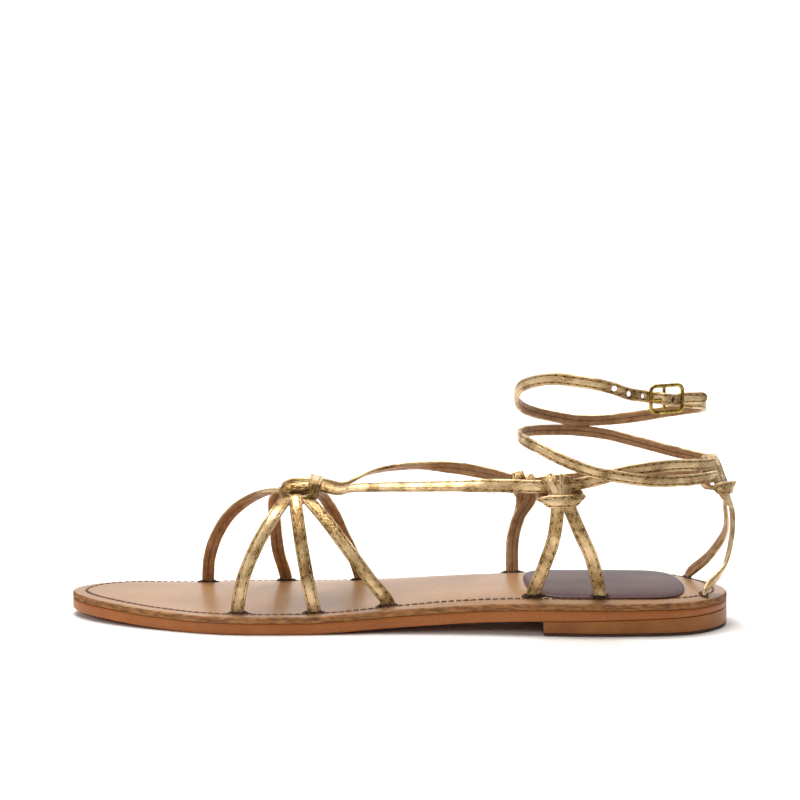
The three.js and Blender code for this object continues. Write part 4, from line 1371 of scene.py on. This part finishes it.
    def inner_tie(self) -> list[Row]:
        """Tie at the inner side, whose strands stand one behind the other.

        Returns:
            The route.
        """
        behind = self.shape.inner_slit_inset - self.thickness / 2
        before = behind + 0.97 * self.thickness
        legs = [
            [*self.foot(0.682, Side.INNER, INWARD, behind), Row(self.beside(0.684, 0.495, 0.479), INWARD),
             Row(self.beside(0.697, 0.528, 0.68), INWARD)],
            [*self.foot(0.682, Side.INNER, INWARD, before), Row(self.beside(0.684, 0.468, 0.479), INWARD),
             Row(self.beside(0.694, 0.497, 0.643), INWARD)],
        ]  # fmt: skip
        return self.joined(self.larks_head(
            self.beside(0.702, 0.505, 0.878), Vector((1, 0.02, -0.28)).normalized(), INWARD,
            Vector((-0.2, 0, 1)).normalized(), self.width / 2, self.thickness / 2, 0.36, 1.1, legs, splay=0.2,
        ))  # fmt: skip

    def heel_tie(self) -> list[Row]:
        """Tie at the heel, round both turns of the ankle strap.

        Returns:
            The route.
        """
        back = Vector((1, 0, 0))
        legs = [
            [*self.foot(0.956, Side.OUTER, back), Row(self.ankle(0.991, -0.14, 0.31), back),
             Row(self.ankle(1.005, -0.08, 0.5), back), Row(self.ankle(1.003, -0.07, 0.63), back)],
            [*self.foot(0.952, Side.INNER, back), Row(self.ankle(0.981, 0.18, 0.32), back),
             Row(self.ankle(1.002, 0.08, 0.48), back), Row(self.ankle(0.998, 0.02, 0.62), back)],
        ]  # fmt: skip
        return self.joined(self.larks_head(
            self.ankle(0.974, -0.075, 0.818), Vector((0.69, 0.72, 0)).normalized(),
            Vector((0.72, -0.69, 0)).normalized(), Vector((-0.3, 0.2, 0.93)).normalized(),
            self.ankle_width * 0.95, self.thickness * 0.6, 0.26, 1.3, legs, splay=0.3,
        ))  # fmt: skip

    def long_strap(self) -> list[Row]:
        """Strap that is knotted over the toes and runs over both sides of the instep and round the ankle.

        Returns:
            The route.
        """
        share = self.ankle_width / self.width
        legs = [
            [Row(self.fore(0.415, across, 1.035), self.from_foot(self.fore(0.4, across, 1.03)).face)]
            for across in (-0.06, 0.18)
        ]
        outer_knot, inner_knot = self.larks_head(
            self.fore(0.352, 0.06, 1.012), Vector((0, 0.99, 0.08)).normalized(), UP, Vector((-1, 0, 0)),
            self.width * 0.85, self.thickness * 0.9, 0.72, 1.5, legs, roll=0.9, pinch=0.3,
        )
        # place along, across and up, as shares of the sizes in fore, beside or ankle
        outer = [self.from_foot(self.fore(*row)) for row in (
            (0.432, -0.085, 1.06), (0.476, -0.155, 1.084), (0.535, -0.247, 1.107), (0.593, -0.318, 1.126),
        )]  # fmt: skip
        outer += [Row(self.beside(*row), OUTWARD) for row in (
            (0.651, -0.455, 1.003), (0.697, -0.495, 1.003), (0.735, -0.505, 1.003),
        )]  # fmt: skip
        outer.append(Row(self.beside(0.77, -0.515, 1.03), OUTWARD, share))
        turns = [self.from_ankle(self.ankle(*row), share) for row in (
            (0.792, -0.5, 0.813), (0.826, -0.495, 0.85), (0.862, -0.47, 0.868), (0.896, -0.415, 0.876),
            (0.931, -0.32, 0.87), (0.961, -0.18, 0.857), (0.98, -0.02, 0.852), (0.971, 0.12, 0.858),
            (0.951, 0.235, 0.868), (0.922, 0.345, 0.885), (0.88, 0.45, 0.918), (0.832, 0.5, 0.957),
            (0.784, 0.49, 0.98), (0.737, 0.385, 0.992), (0.701, 0.2, 1.0), (0.686, 0.0, 1.0),
            (0.689, -0.2, 0.988), (0.709, -0.39, 0.962), (0.741, -0.495, 0.912), (0.782, -0.545, 0.86),
            (0.825, -0.545, 0.829), (0.87, -0.505, 0.807), (0.92, -0.385, 0.797), (0.958, -0.24, 0.794),
            (0.983, -0.05, 0.788), (0.981, 0.1, 0.785), (0.958, 0.25, 0.78), (0.916, 0.385, 0.765),
            (0.857, 0.47, 0.745), (0.797, 0.505, 0.72),
        )]  # fmt: skip
        inner = [Row(self.beside(0.75, 0.51, 0.905), INWARD, share)]
        inner += [Row(self.beside(*row), INWARD) for row in (
            (0.702, 0.505, 0.88), (0.65, 0.505, 0.945), (0.595, 0.5, 0.992),
        )]  # fmt: skip
        inner += [self.from_foot(self.fore(*row)) for row in (
            (0.538, 0.375, 1.15), (0.464, 0.28, 1.12), (0.424, 0.195, 1.045),
        )]  # fmt: skip
        return [*outer_knot[::-1], *outer, *turns, *inner, *inner_knot]

    def bar(self) -> tuple[Vector, Vector, Vector, Vector]:
        """Middle of the buckle's bar and the strap's run, outward and upward directions there.

        Returns:
            The middle and the three directions.
        """
        run = Vector((0.864, 0.481, -0.153)).normalized()
        out = Vector((0.486, -0.874, 0)).normalized()
        return self.high_loop(0.8865, -0.472, 0.65), run, out, out.cross(run).normalized()

    def by_bar(self, run: float, out: float, up: float = 0.0) -> Vector:
        """Point beside the buckle's bar."""
        centre, along, away, over = self.bar()
        return centre + along * run + away * out + over * up

    def sides(self) -> tuple[float, float]:
        """Run of the frame's front and rear wires from the bar."""
        half = (self.buckle_length - self.wire) / 2
        return self.set_back - half, self.set_back + half

    def seats(self) -> tuple[float, float, float]:
        """Offset of the strap under the frame, radius of the fold round the bar and offset over the fold.

        Returns:
            The three lengths, outward from the bar's middle.
        """
        under = -(self.wire / 2 + self.clearance + self.thickness / 2)
        radius = self.wire / 2 + self.clearance + self.fold / 2
        return under, radius, radius + self.fold / 2 + self.thickness * 0.45

    def buckle_loop(self) -> list[Row]:
        """Upper turn round the ankle, from behind the buckle to the tongue's tip.

        Returns:
            The route.
        """
        under, _, over = self.seats()
        front, rear = self.sides()
        out = self.bar()[2]
        rows = [Row(self.by_bar(self.tail, under - 0.97 * self.thickness), out)]
        # place along, across and up, as shares of the sizes in high_loop
        rows += [self.from_ankle(self.high_loop(*row)) for row in (
            (0.951, -0.18, 0.5), (0.963, -0.01, 0.405), (0.954, 0.18, 0.32), (0.921, 0.345, 0.21),
            (0.879, 0.455, 0.085), (0.832, 0.497, 0.01), (0.784, 0.49, 0.0), (0.736, 0.395, 0.12),
            (0.698, 0.22, 0.29), (0.681, 0.0, 0.53), (0.684, -0.19, 0.79), (0.7, -0.345, 0.925),
            (0.728, -0.475, 1.005), (0.759, -0.53, 0.975), (0.787, -0.555, 0.925), (0.811, -0.556, 0.855),
        )]  # fmt: skip
        # run, out and up from the bar, and share of the full width
        rows += [Row(self.by_bar(*place_by), out, wide) for place_by, wide in (
            ((-0.885 * self.buckle_length, under - 0.5), 1.0), ((-0.61 * self.buckle_length, under - 0.4), 1.0),
            ((front, under), 1.0), ((front * 0.5, (under + over) / 2 + 0.1), 1.0), ((-0.9, over - 0.35), 1.0),
            ((0.9, over), 1.0), ((3.2, over - 1.1), 1.0), ((rear - 2.4, under + 0.9, 0.3), 1.0),
            ((rear, under, 0.75), 1.0), ((rear + 3.5, under + 0.2, 1.5), 1.0),
            ((0.86 * self.tongue, under + 0.1, 2.3), 1.0), ((0.94 * self.tongue, under, 2.65), 0.85),
            ((0.98 * self.tongue, under, 2.85), 0.55),
        )]  # fmt: skip
        return rows

    def bar_fold(self) -> list[Row]:
        """Skived end of the strap, folded round the buckle's bar.

        Returns:
            The route.
        """
        under, radius, _ = self.seats()
        _, rear = self.sides()
        _, run, out, _ = self.bar()
        low = under - (self.thickness + self.fold) / 2
        rows = [
            Row(self.by_bar(1.1 * self.tail, under - self.thickness), out),
            Row(self.by_bar(rear, low), out),
            Row(self.by_bar(rear * 0.55, low + 1.9), out),
            Row(self.by_bar(radius, radius * 0.85), out),
        ]
        for k in range(5):
            angle = math.pi * k / 4
            rows.append(Row(
                self.by_bar(-radius * math.sin(angle), radius * math.cos(angle)),
                out * math.cos(angle) - run * math.sin(angle),
            ))  # fmt: skip
        rows.append(Row(self.by_bar(radius * 1.6, -radius * 1.05), -out))
        rows.append(Row(self.by_bar(rear * 0.62, low + 0.3), -out))
        return rows


@dataclass
class Straps:
    """Folded gold straps with two rows of stitches, a seamed inner side and creases at their bends."""

    routes: StrapRoutes
    stitch_pitch: float = 3.2
    stitch_inset: float = 0.95
    stitch_slant: float = 0.34
    thread_half_width: float = 0.17
    thread_half_height: float = 0.2
    hole_length: float = 1.15
    hole_half_width: float = 0.25
    hole_half_depth: float = 0.06
    groove: float = 0.3
    crease_depth: float = 0.16
    crease_width: float = 0.9
    punch_pitch: float = 5.8
    slit_gap: float = 0.4
    gold: bpy.types.Material | None = None
    bare: bpy.types.Material | None = None

    def section(self, width: float, thickness: float) -> list[tuple[float, float, int]]:
        """Section of a folded strap.

        Args:
            width: Its full width.
            thickness: Its full thickness.

        Returns:
            Offset to the side, offset outward and material slot of each corner, round the section.
        """
        w, t = width / 2, thickness / 2
        s, g = w - self.stitch_inset, self.groove
        # to the side, outward, material slot: two stitch grooves outside, one seam inside
        outer = [
            (w, 0.0, 0), (w - 0.1, 0.5 * t, 0), (w - 0.3, 0.88 * t, 0), (s + 0.3, t, 0), (s, t - g, 0),
            (s - 0.34, t, 0), (0.4 * w, t + 0.08, 0), (0.0, t + 0.12, 0), (-0.4 * w, t + 0.08, 0),
            (-s + 0.34, t, 0), (-s, t - g, 0), (-s - 0.3, t, 0), (-w + 0.3, 0.88 * t, 0), (-w + 0.1, 0.5 * t, 0),
        ]  # fmt: skip
        inner = [
            (-w, 0.05 * t, 0), (-w + 0.1, -0.6 * t, 0), (-w + 0.38, -0.95 * t, 1), (-0.5 * w, -t, 1),
            (-0.2, -0.97 * t, 1), (-0.05, -t + 0.4, 1), (0.05, -t + 0.4, 1), (0.2, -0.97 * t, 1),
            (0.5 * w, -t, 1), (w - 0.38, -0.95 * t, 0), (w - 0.1, -0.6 * t, 0),
        ]  # fmt: skip
        return outer + inner

    def crease(self, length: float, marks: Sequence[tuple[float, float]]) -> float:
        """Depth of the soft troughs and ridges at a length along the strap.

        Args:
            length: The length run.
            marks: Length and strength of each crease.

        Returns:
            The change of the outer face's height.
        """
        total = 0.0
        for where, strength in marks:
            off = (length - where) / self.crease_width
            total += strength * (1.6 * off * off - 1) * math.exp(-off * off)
        return total * self.crease_depth

    def marks(self, line: Sequence[Station]) -> list[tuple[float, float]]:
        """Creases where the strap bends sharply, placed by its own curvature.

        Args:
            line: The strap's stations.

        Returns:
            Length and strength of each crease.
        """
        found: list[tuple[float, float]] = []
        reach, sharp, apart = 4, 0.5, 2.1
        for i in range(reach, len(line) - reach):
            bend = line[i - reach].run.angle(line[i + reach].run)
            if bend > sharp and (not found or line[i].length - found[-1][0] > apart):
                found.append((line[i].length, min(1.0, bend)))
        return found

    def band(self, name: str, rows: Sequence[Row], width: float, thickness: float) -> bpy.types.Object:
        """Strap as a closed mesh along its route.

        Args:
            name: The strap's name.
            rows: Its route.
            width: Its full width.
            thickness: Its full thickness.

        Returns:
            The strap.
        """
        line = stations(rows)
        marks = self.marks(line)
        rings = []
        for station in line:
            ring = []
            dent = self.crease(station.length, marks)
            for across, out, _ in self.section(width * station.wide, thickness):
                lift = dent if out > 0 else 0.3 * dent
                p = station.at + station.side * across + station.face * (out + lift * min(1.0, abs(out) * 2))
                p += station.face * (0.045 * grain(p, 1.1)) + station.side * (0.05 * grain(p + UP * 40, 2.4))
                ring.append(p)
            rings.append(ring)
        points, faces = join_rings(rings, True)
        slots = [kind for _, _, kind in self.section(width, thickness)] * (len(line) - 1) + [0, 0]
        return make_object(name, points, faces, [self.gold, self.bare], slots, sharp=55)

    def seam(self, name: str, rows: Sequence[Row], width: float, thickness: float) -> bpy.types.Object:
        """Two rows of pale stitches with dark needle holes between them.

        Args:
            name: The stitches' name.
            rows: The strap's route.
            width: Its full width.
            thickness: Its full thickness.

        Returns:
            The stitches and holes as one piece.
        """
        line = stations(rows, 0.12)
        points: list[Vector] = []
        faces: list[tuple[int, ...]] = []
        slots: list[int] = []
        draw = random.Random(len(rows))
        total = line[-1].length
        margin, narrowest = 1.5, 0.6
        top = thickness / 2 - 0.2
        hole_sides, thread_sides = 8, 6
        shares = (0.24, 0.32, 0.5, 0.68, 0.76)

        def station_at(length: float) -> Station:
            """Station nearest to a length."""
            return line[min(max(int(length / total * (len(line) - 1) + 0.5), 0), len(line) - 1)]

        for n in range(int((total - 2 * margin) / self.stitch_pitch)):
            for hand in (-1, 1):
                start = margin + (n + (0.5 if hand > 0 else 0.0)) * self.stitch_pitch
                here = station_at(start)
                reach = width * here.wide / 2 - self.stitch_inset
                if reach < narrowest:
                    continue
                slant = self.stitch_slant + 0.1 * draw.uniform(-1, 1)
                run = (here.run + here.side * slant).normalized()
                side = here.face.cross(run)
                centre = here.at + here.side * hand * reach + here.face * (top + 0.03)
                half = self.hole_length / 2 * draw.uniform(0.85, 1.1)
                first = len(points)
                for m in range(hole_sides):
                    angle = 2 * math.pi * m / hole_sides
                    across = side * math.sin(angle) * self.hole_half_width
                    points.append(centre + run * math.cos(angle) * half + across)
                points += [centre + here.face * self.hole_half_depth, centre - here.face * self.hole_half_depth]
                for k in range(first, first + hole_sides):
                    l = first + (k - first + 1) % hole_sides
                    faces += [(k, l, first + hole_sides), (l, k, first + hole_sides + 1)]
                    slots += [1, 1]
                first = len(points)
                for share in shares:
                    spot = station_at(start + share * self.stitch_pitch)
                    swell = 1.0 - (abs(share - 0.5) / 0.27) ** 2 * 0.8
                    base = spot.at + spot.side * hand * (width * spot.wide / 2 - self.stitch_inset)
                    base += spot.face * (top - 0.04)
                    for m in range(thread_sides):
                        angle = 2 * math.pi * m / thread_sides
                        rise = math.sin(angle) * self.thread_half_height * swell
                        across = spot.side * math.cos(angle) * self.thread_half_width
                        points.append(base + across + spot.face * rise)
                thread = tube_faces(first, len(shares), thread_sides)
                faces += thread
                slots += [0] * len(thread)
        return make_object(name, points, faces, [STRAP_THREAD.make(), NEEDLE_HOLE.make()], slots)

    def sleeve(self, rows: Sequence[Row], width: float, thickness: float) -> bpy.types.Object:
        """Cutter for the slit that a strap's foot stands in.

        Args:
            rows: The strap's route, foot first.
            width: Its full width.
            thickness: Its full thickness.

        Returns:
            The cutter, a little wider than the strap.
        """
        shape = self.routes.shape
        rings = []
        w, t = width / 2 + self.slit_gap, thickness / 2 + self.slit_gap
        corners = [
            (w, 0), (w - 0.35, t * 0.8), (w - 0.8, t), (-w + 0.8, t), (-w + 0.35, t * 0.8), (-w, 0),
            (-w + 0.35, -t * 0.8), (-w + 0.8, -t), (w - 0.8, -t), (w - 0.35, -t * 0.8),
        ]  # fmt: skip
        above, below = 2.4, 1.5
        for station in stations(rows[:4], 0.8):
            if rings and station.at.z > shape.footbed(station.at.x, station.at.y) + above:
                break
            rings.append([station.at + station.side * a + station.face * b for a, b in corners])
        low = [p - UP * below for p in rings[0]]
        points, faces = join_rings([low, *rings], True)
        return make_object("slit_cutter", points, faces, [])

    def fray(self, feet: Sequence[tuple[Row, float]]) -> bpy.types.Object:
        """Dark ragged leather round each slit.

        Args:
            feet: Upper row of each foot, and how far its leather lies over the footbed.

        Returns:
            All the fraying as one piece.
        """
        shape = self.routes.shape
        draw = random.Random(3)
        points: list[Vector] = []
        faces: list[tuple[int, ...]] = []
        count, proud = 44, 0.3
        for row, lift in feet:
            side = row.face.cross(UP).normalized()
            first = len(points)
            for k in range(count):
                angle = 2 * math.pi * k / count
                c, s = math.cos(angle), math.sin(angle)
                end = abs(c) ** 6
                across = math.copysign(abs(c) ** 0.5, c) * (self.routes.width / 2 + proud)
                away = math.copysign(abs(s) ** 0.6, s) * (self.routes.thickness / 2 + proud)
                base = row.at + side * across + row.face * away
                push = (side * c + row.face * s).normalized()
                ragged = draw.uniform(0.12, 0.65) + end * draw.uniform(0.3, 1.7)
                crest = 0.3 + 0.6 * draw.random()
                # push outward, rise over the leather
                for step, rise in ((-0.2, 0.7 * crest), (0.12, crest), (ragged, 0.12), (ragged + 0.12, -0.12)):
                    q = base + push * step
                    q.z = shape.footbed(q.x, q.y) + lift + rise
                    points.append(q)
            for k in range(count):
                l = (k + 1) % count
                for m in range(4):
                    n = (m + 1) % 4
                    faces.append((first + 4 * k + m, first + 4 * l + m, first + 4 * l + n, first + 4 * k + n))
        piece = make_object("slit_fraying", points, faces, [FRAYED_LEATHER.make()], sharp=25)
        return place(piece, "insole_leather")

    def punch(self, strap: bpy.types.Object, rows: Sequence[Row]) -> None:
        """Punches the buckle holes through the strap, counted from the one that the prong is in.

        Args:
            strap: The buckle strap.
            rows: Its route.
        """
        line = stations(rows, 0.4)
        under, _, over = self.routes.seats()
        front, _ = self.routes.sides()
        prong = self.routes.by_bar(front * 0.6, (under + over) / 2)
        near = min(line, key=lambda station: (station.at - prong).length)
        sides, half_depth = 20, 1.6
        cutters = []
        for step in (-3, -2, -1, 1):
            want = near.length + step * self.punch_pitch
            spot = min(line, key=lambda station: abs(station.length - want))
            turns = [2 * math.pi * k / sides for k in range(sides)]
            ring = [spot.at + spot.run * math.cos(a) + spot.side * math.sin(a) for a in turns]
            rings = [[p + spot.face * out for p in ring] for out in (-half_depth, half_depth)]
            points, faces = join_rings(rings, True)
            cutters.append(make_object("hole_cutter", points, faces, []))
        cut_away(strap, cutters)

    def build(self) -> list[bpy.types.Object]:
        """Builds every strap and its stitches.

        Returns:
            One cutter for each slit.
        """
        routes = self.routes
        self.gold, self.bare = GoldFoilLeather().make(), BARE_LEATHER.make()
        w, t = routes.width, routes.thickness - 0.14
        plan = {f"toe_strap_{name}": (rows, w) for name, rows in routes.toe_straps().items()}
        plan["side_tie_outer"] = (routes.outer_tie(), w)
        plan["side_tie_inner"] = (routes.inner_tie(), w)
        plan["heel_tie"] = (routes.heel_tie(), w)
        plan["instep_and_ankle_strap"] = (routes.long_strap(), w)
        plan["buckle_strap"] = (routes.buckle_loop(), routes.ankle_width)
        feet: list[tuple[Row, float]] = []
        cutters: list[bpy.types.Object] = []
        for name, (rows, width) in plan.items():
            strap = self.band(name, rows, width, t)
            if name == "buckle_strap":
                self.punch(strap, rows)
            place(strap, "metallic_leather", "upper")
            place(self.seam(f"{name}_stitches", rows, width, t), "metallic_leather")
            if name.startswith(("toe", "side", "heel")):
                for end in (rows, rows[::-1]):
                    cutters.append(self.sleeve(end, width, t))
                    on_patch = 0.7 * routes.shape.length < end[1].at.x < 0.9 * routes.shape.length
                    feet.append((end[1], 0.55 if on_patch and end[1].at.y < 0 else 0.0))
        fold = self.band("buckle_strap_fold", routes.bar_fold(), routes.ankle_width, routes.fold - 0.1)
        place(fold, "metallic_leather", "upper")
        self.fray(feet)
        return cutters


# ---------- buckle


@dataclass
class Buckle:
    """Small brass frame with its bar, and the prong on the bar."""

    routes: StrapRoutes
    height: float = 11.0
    corner: float = 2.2
    prong_wire: float = 1.2
    sides: int = 16
    squareness: float = 0.8
    # share of the way to the tip, share of the wire
    arm: tuple[tuple[float, float], ...] = ((0.0, 1.0), (0.25, 1.0), (0.5, 0.98), (0.75, 0.94), (0.9, 0.86), (1.0, 0.5))

    def on_frame(self, run: float, up: float, out: float = 0.0) -> Vector:
        """Point in the tipped plane of the frame.

        Args:
            run: Distance along the strap from the bar.
            up: Distance up.
            out: Distance outward.

        Returns:
            The point.
        """
        centre, along, away, over = self.routes.bar()
        tip = self.routes.tip
        frame_run = along * math.cos(tip) + over * math.sin(tip)
        frame_up = away.cross(frame_run).normalized()
        return centre + frame_run * run + frame_up * up + away * out

    def tube(self, line: Sequence[Vector], sizes: Sequence[float], closed: bool, flat: float) -> tuple[list, list]:
        """Wire along a line.

        Args:
            line: Its middle.
            sizes: Its diameter at each point.
            closed: Whether it closes on itself.
            flat: Its depth outward as a share of its width.

        Returns:
            The points and the faces.
        """
        away = self.routes.bar()[2]
        rings = []
        for i, at in enumerate(line):
            before = line[i - 1] if closed or i > 0 else at
            after = line[(i + 1) % len(line)] if closed or i < len(line) - 1 else at
            run = (after - before).normalized()
            over = away if abs(run.dot(away)) < 0.9 else self.on_frame(0, 1) - self.on_frame(0, 0)
            side = over.cross(run).normalized()
            square = run.cross(side)
            radius = sizes[i] / 2
            ring = []
            for k in range(self.sides):
                angle = 2 * math.pi * k / self.sides
                c, s = math.cos(angle), math.sin(angle)
                c, s = (math.copysign(abs(part) ** self.squareness, part) for part in (c, s))
                ring.append(at + side * c * radius + square * s * radius * flat)
            rings.append(ring)
        if closed:
            rings.append(rings[0])
        return join_rings(rings, not closed)

    def build(self) -> None:
        """Builds the frame with its bar, and the prong with its eye."""
        front, rear = self.routes.sides()
        wire = self.routes.wire
        half = (self.height - wire) / 2
        corners = ((rear, half, 0), (front, half, 1), (front, -half, 2), (rear, -half, 3))
        line: list[Vector] = []
        for run, up, quarter in corners:
            middle = (run - math.copysign(self.corner, run), up - math.copysign(self.corner, up))
            for k in range(10):
                angle = (quarter + k / 9) * math.pi / 2
                line.append(self.on_frame(
                    middle[0] + self.corner * math.cos(angle), middle[1] + self.corner * math.sin(angle)
                ))  # fmt: skip
        brass = CastBrass().make()
        points, faces = self.tube(line, [wire * 0.95] * len(line), True, 0.9)
        bar = [self.on_frame(0, half * share) for share in (1, 0.3, -0.3, -1)]
        bar_points, bar_faces = self.tube(bar, [wire * 0.8] * len(bar), False, 1.0)
        faces += [tuple(k + len(points) for k in f) for f in bar_faces]
        place(make_object("buckle_frame_brass", points + bar_points, faces, [brass]), "buckle_brass", "buckle_frame")
        radius = wire / 2 + self.routes.clearance + self.prong_wire / 2
        turns = [2 * math.pi * k / 24 for k in range(24)]
        eye = [self.on_frame(radius * math.cos(angle), 0, radius * math.sin(angle)) for angle in turns]
        points, faces = self.tube(eye, [self.prong_wire] * len(eye), True, 1.0)
        tip, bow = front - 0.9, 0.12
        arm = [self.on_frame(tip * share, 0, radius + bow * math.sin(math.pi * share)) for share, _ in self.arm]
        sizes = [self.prong_wire * wire_share for _, wire_share in self.arm]
        arm_points, arm_faces = self.tube(arm, sizes, False, 0.9)
        faces += [tuple(k + len(points) for k in f) for f in arm_faces]
        place(make_object("buckle_prong_brass", points + arm_points, faces, [brass]), "buckle_brass", "buckle_prong")


# ---------- studio


@dataclass
class Studio:
    """Pale paper that curves up behind the sandal, soft lights and the camera."""

    camera_at: tuple[float, float, float] = (0.00008, -0.70074, 0.142)
    pitch: float = 4.76
    lens: float = 83.14
    sensor: float = 36.0
    floor_half: float = 6000.0
    cove_start: float = 1200.0
    cove_radius: float = 1500.0
    cove_steps: int = 16

    def light(
        self, name: str, at: tuple[float, float, float], to: tuple[float, float, float], size: float, power: float,
        code: str,
    ) -> None:  # fmt: skip
        """Adds a square soft light that faces a point.

        Args:
            name: The light's name.
            at: Its place.
            to: The point that it faces.
            size: Its side in metres.
            power: Its power in watts.
            code: Its hex colour.
        """
        data = bpy.data.lights.new(name, "AREA")
        data.size = size
        data.energy = power
        data.color = linear(code)[:3]
        lamp = bpy.data.objects.new(name, data)
        lamp.location = at
        lamp.rotation_euler = (Vector(to) - Vector(at)).to_track_quat("-Z", "Y").to_euler()
        bpy.context.scene.collection.objects.link(lamp)

    def build(self) -> None:
        """Makes the paper, the lights, the even surround and the camera."""
        far, start, radius = self.floor_half, self.cove_start, self.cove_radius
        profile = [(-far, 0.0), (start, 0.0)]
        for k in range(1, self.cove_steps + 1):
            angle = math.pi / 2 * k / self.cove_steps
            profile.append((start + radius * math.sin(angle), radius * (1 - math.cos(angle))))
        profile.append((start + radius, far))
        points = [Vector((x, y, z - 0.02)) - SHIFT for y, z in profile for x in (-far, far)]
        faces = [(2 * k, 2 * k + 1, 2 * k + 3, 2 * k + 2) for k in range(len(profile) - 1)]
        floor = make_object("studio_floor", points, faces, [StudioPaper().make()])
        sandal = (0, 0, 0.03)
        for name, at, to, size, power, code in (
            ("top_softbox", (-0.15, 0.15, 1.0), sandal, 0.65, 13.0, "#fffaf4"),
            ("front_softbox", (-0.75, -0.95, 0.7), sandal, 0.45, 3.8, "#fffdfa"),
            ("rear_softbox", (0.9, 0.8, 0.75), sandal, 0.5, 4.0, "#fbfcff"),
            ("backdrop_softbox", (0.0, 1.0, 1.7), (0.0, 2.5, 0.35), 2.2, 42.0, "#ffffff"),
        ):
            self.light(name, at, to, size, power, code)
        world = bpy.data.worlds.new("studio_surround")
        world.use_nodes = True
        world.node_tree.nodes.clear()
        even = add(world.node_tree, "ShaderNodeBackground", {"Color": linear("#fdfdff"), "Strength": 0.25})
        add(world.node_tree, "ShaderNodeOutputWorld", {"Surface": even.outputs["Background"]})
        scene = bpy.context.scene
        scene.world = world
        scene.view_settings.view_transform = "Standard"
        camera = bpy.data.cameras.new("photo_camera")
        camera.lens = self.lens
        camera.sensor_width = self.sensor
        camera.clip_end = 50.0
        held = bpy.data.objects.new("photo_camera", camera)
        held.location = self.camera_at
        held.rotation_euler = (math.radians(90 - self.pitch), 0, 0)
        scene.collection.objects.link(held)
        scene.camera = held


def main() -> None:
    """Builds the sandal and its studio."""
    logging.basicConfig(level=logging.INFO, format="%(name)s: %(message)s")
    Studio().build()
    sole = Sole()
    routes = StrapRoutes(sole.shape)
    cutters = Straps(routes).build()
    patch_cutters = [copy_of(cutter) for cutter in cutters]
    sole.insole(cutters)
    sole.patch(patch_cutters)
    sole.outsole()
    sole.heel()
    sole.lockstitch()
    Buckle(routes).build()


if __name__ == "__main__":
    main()
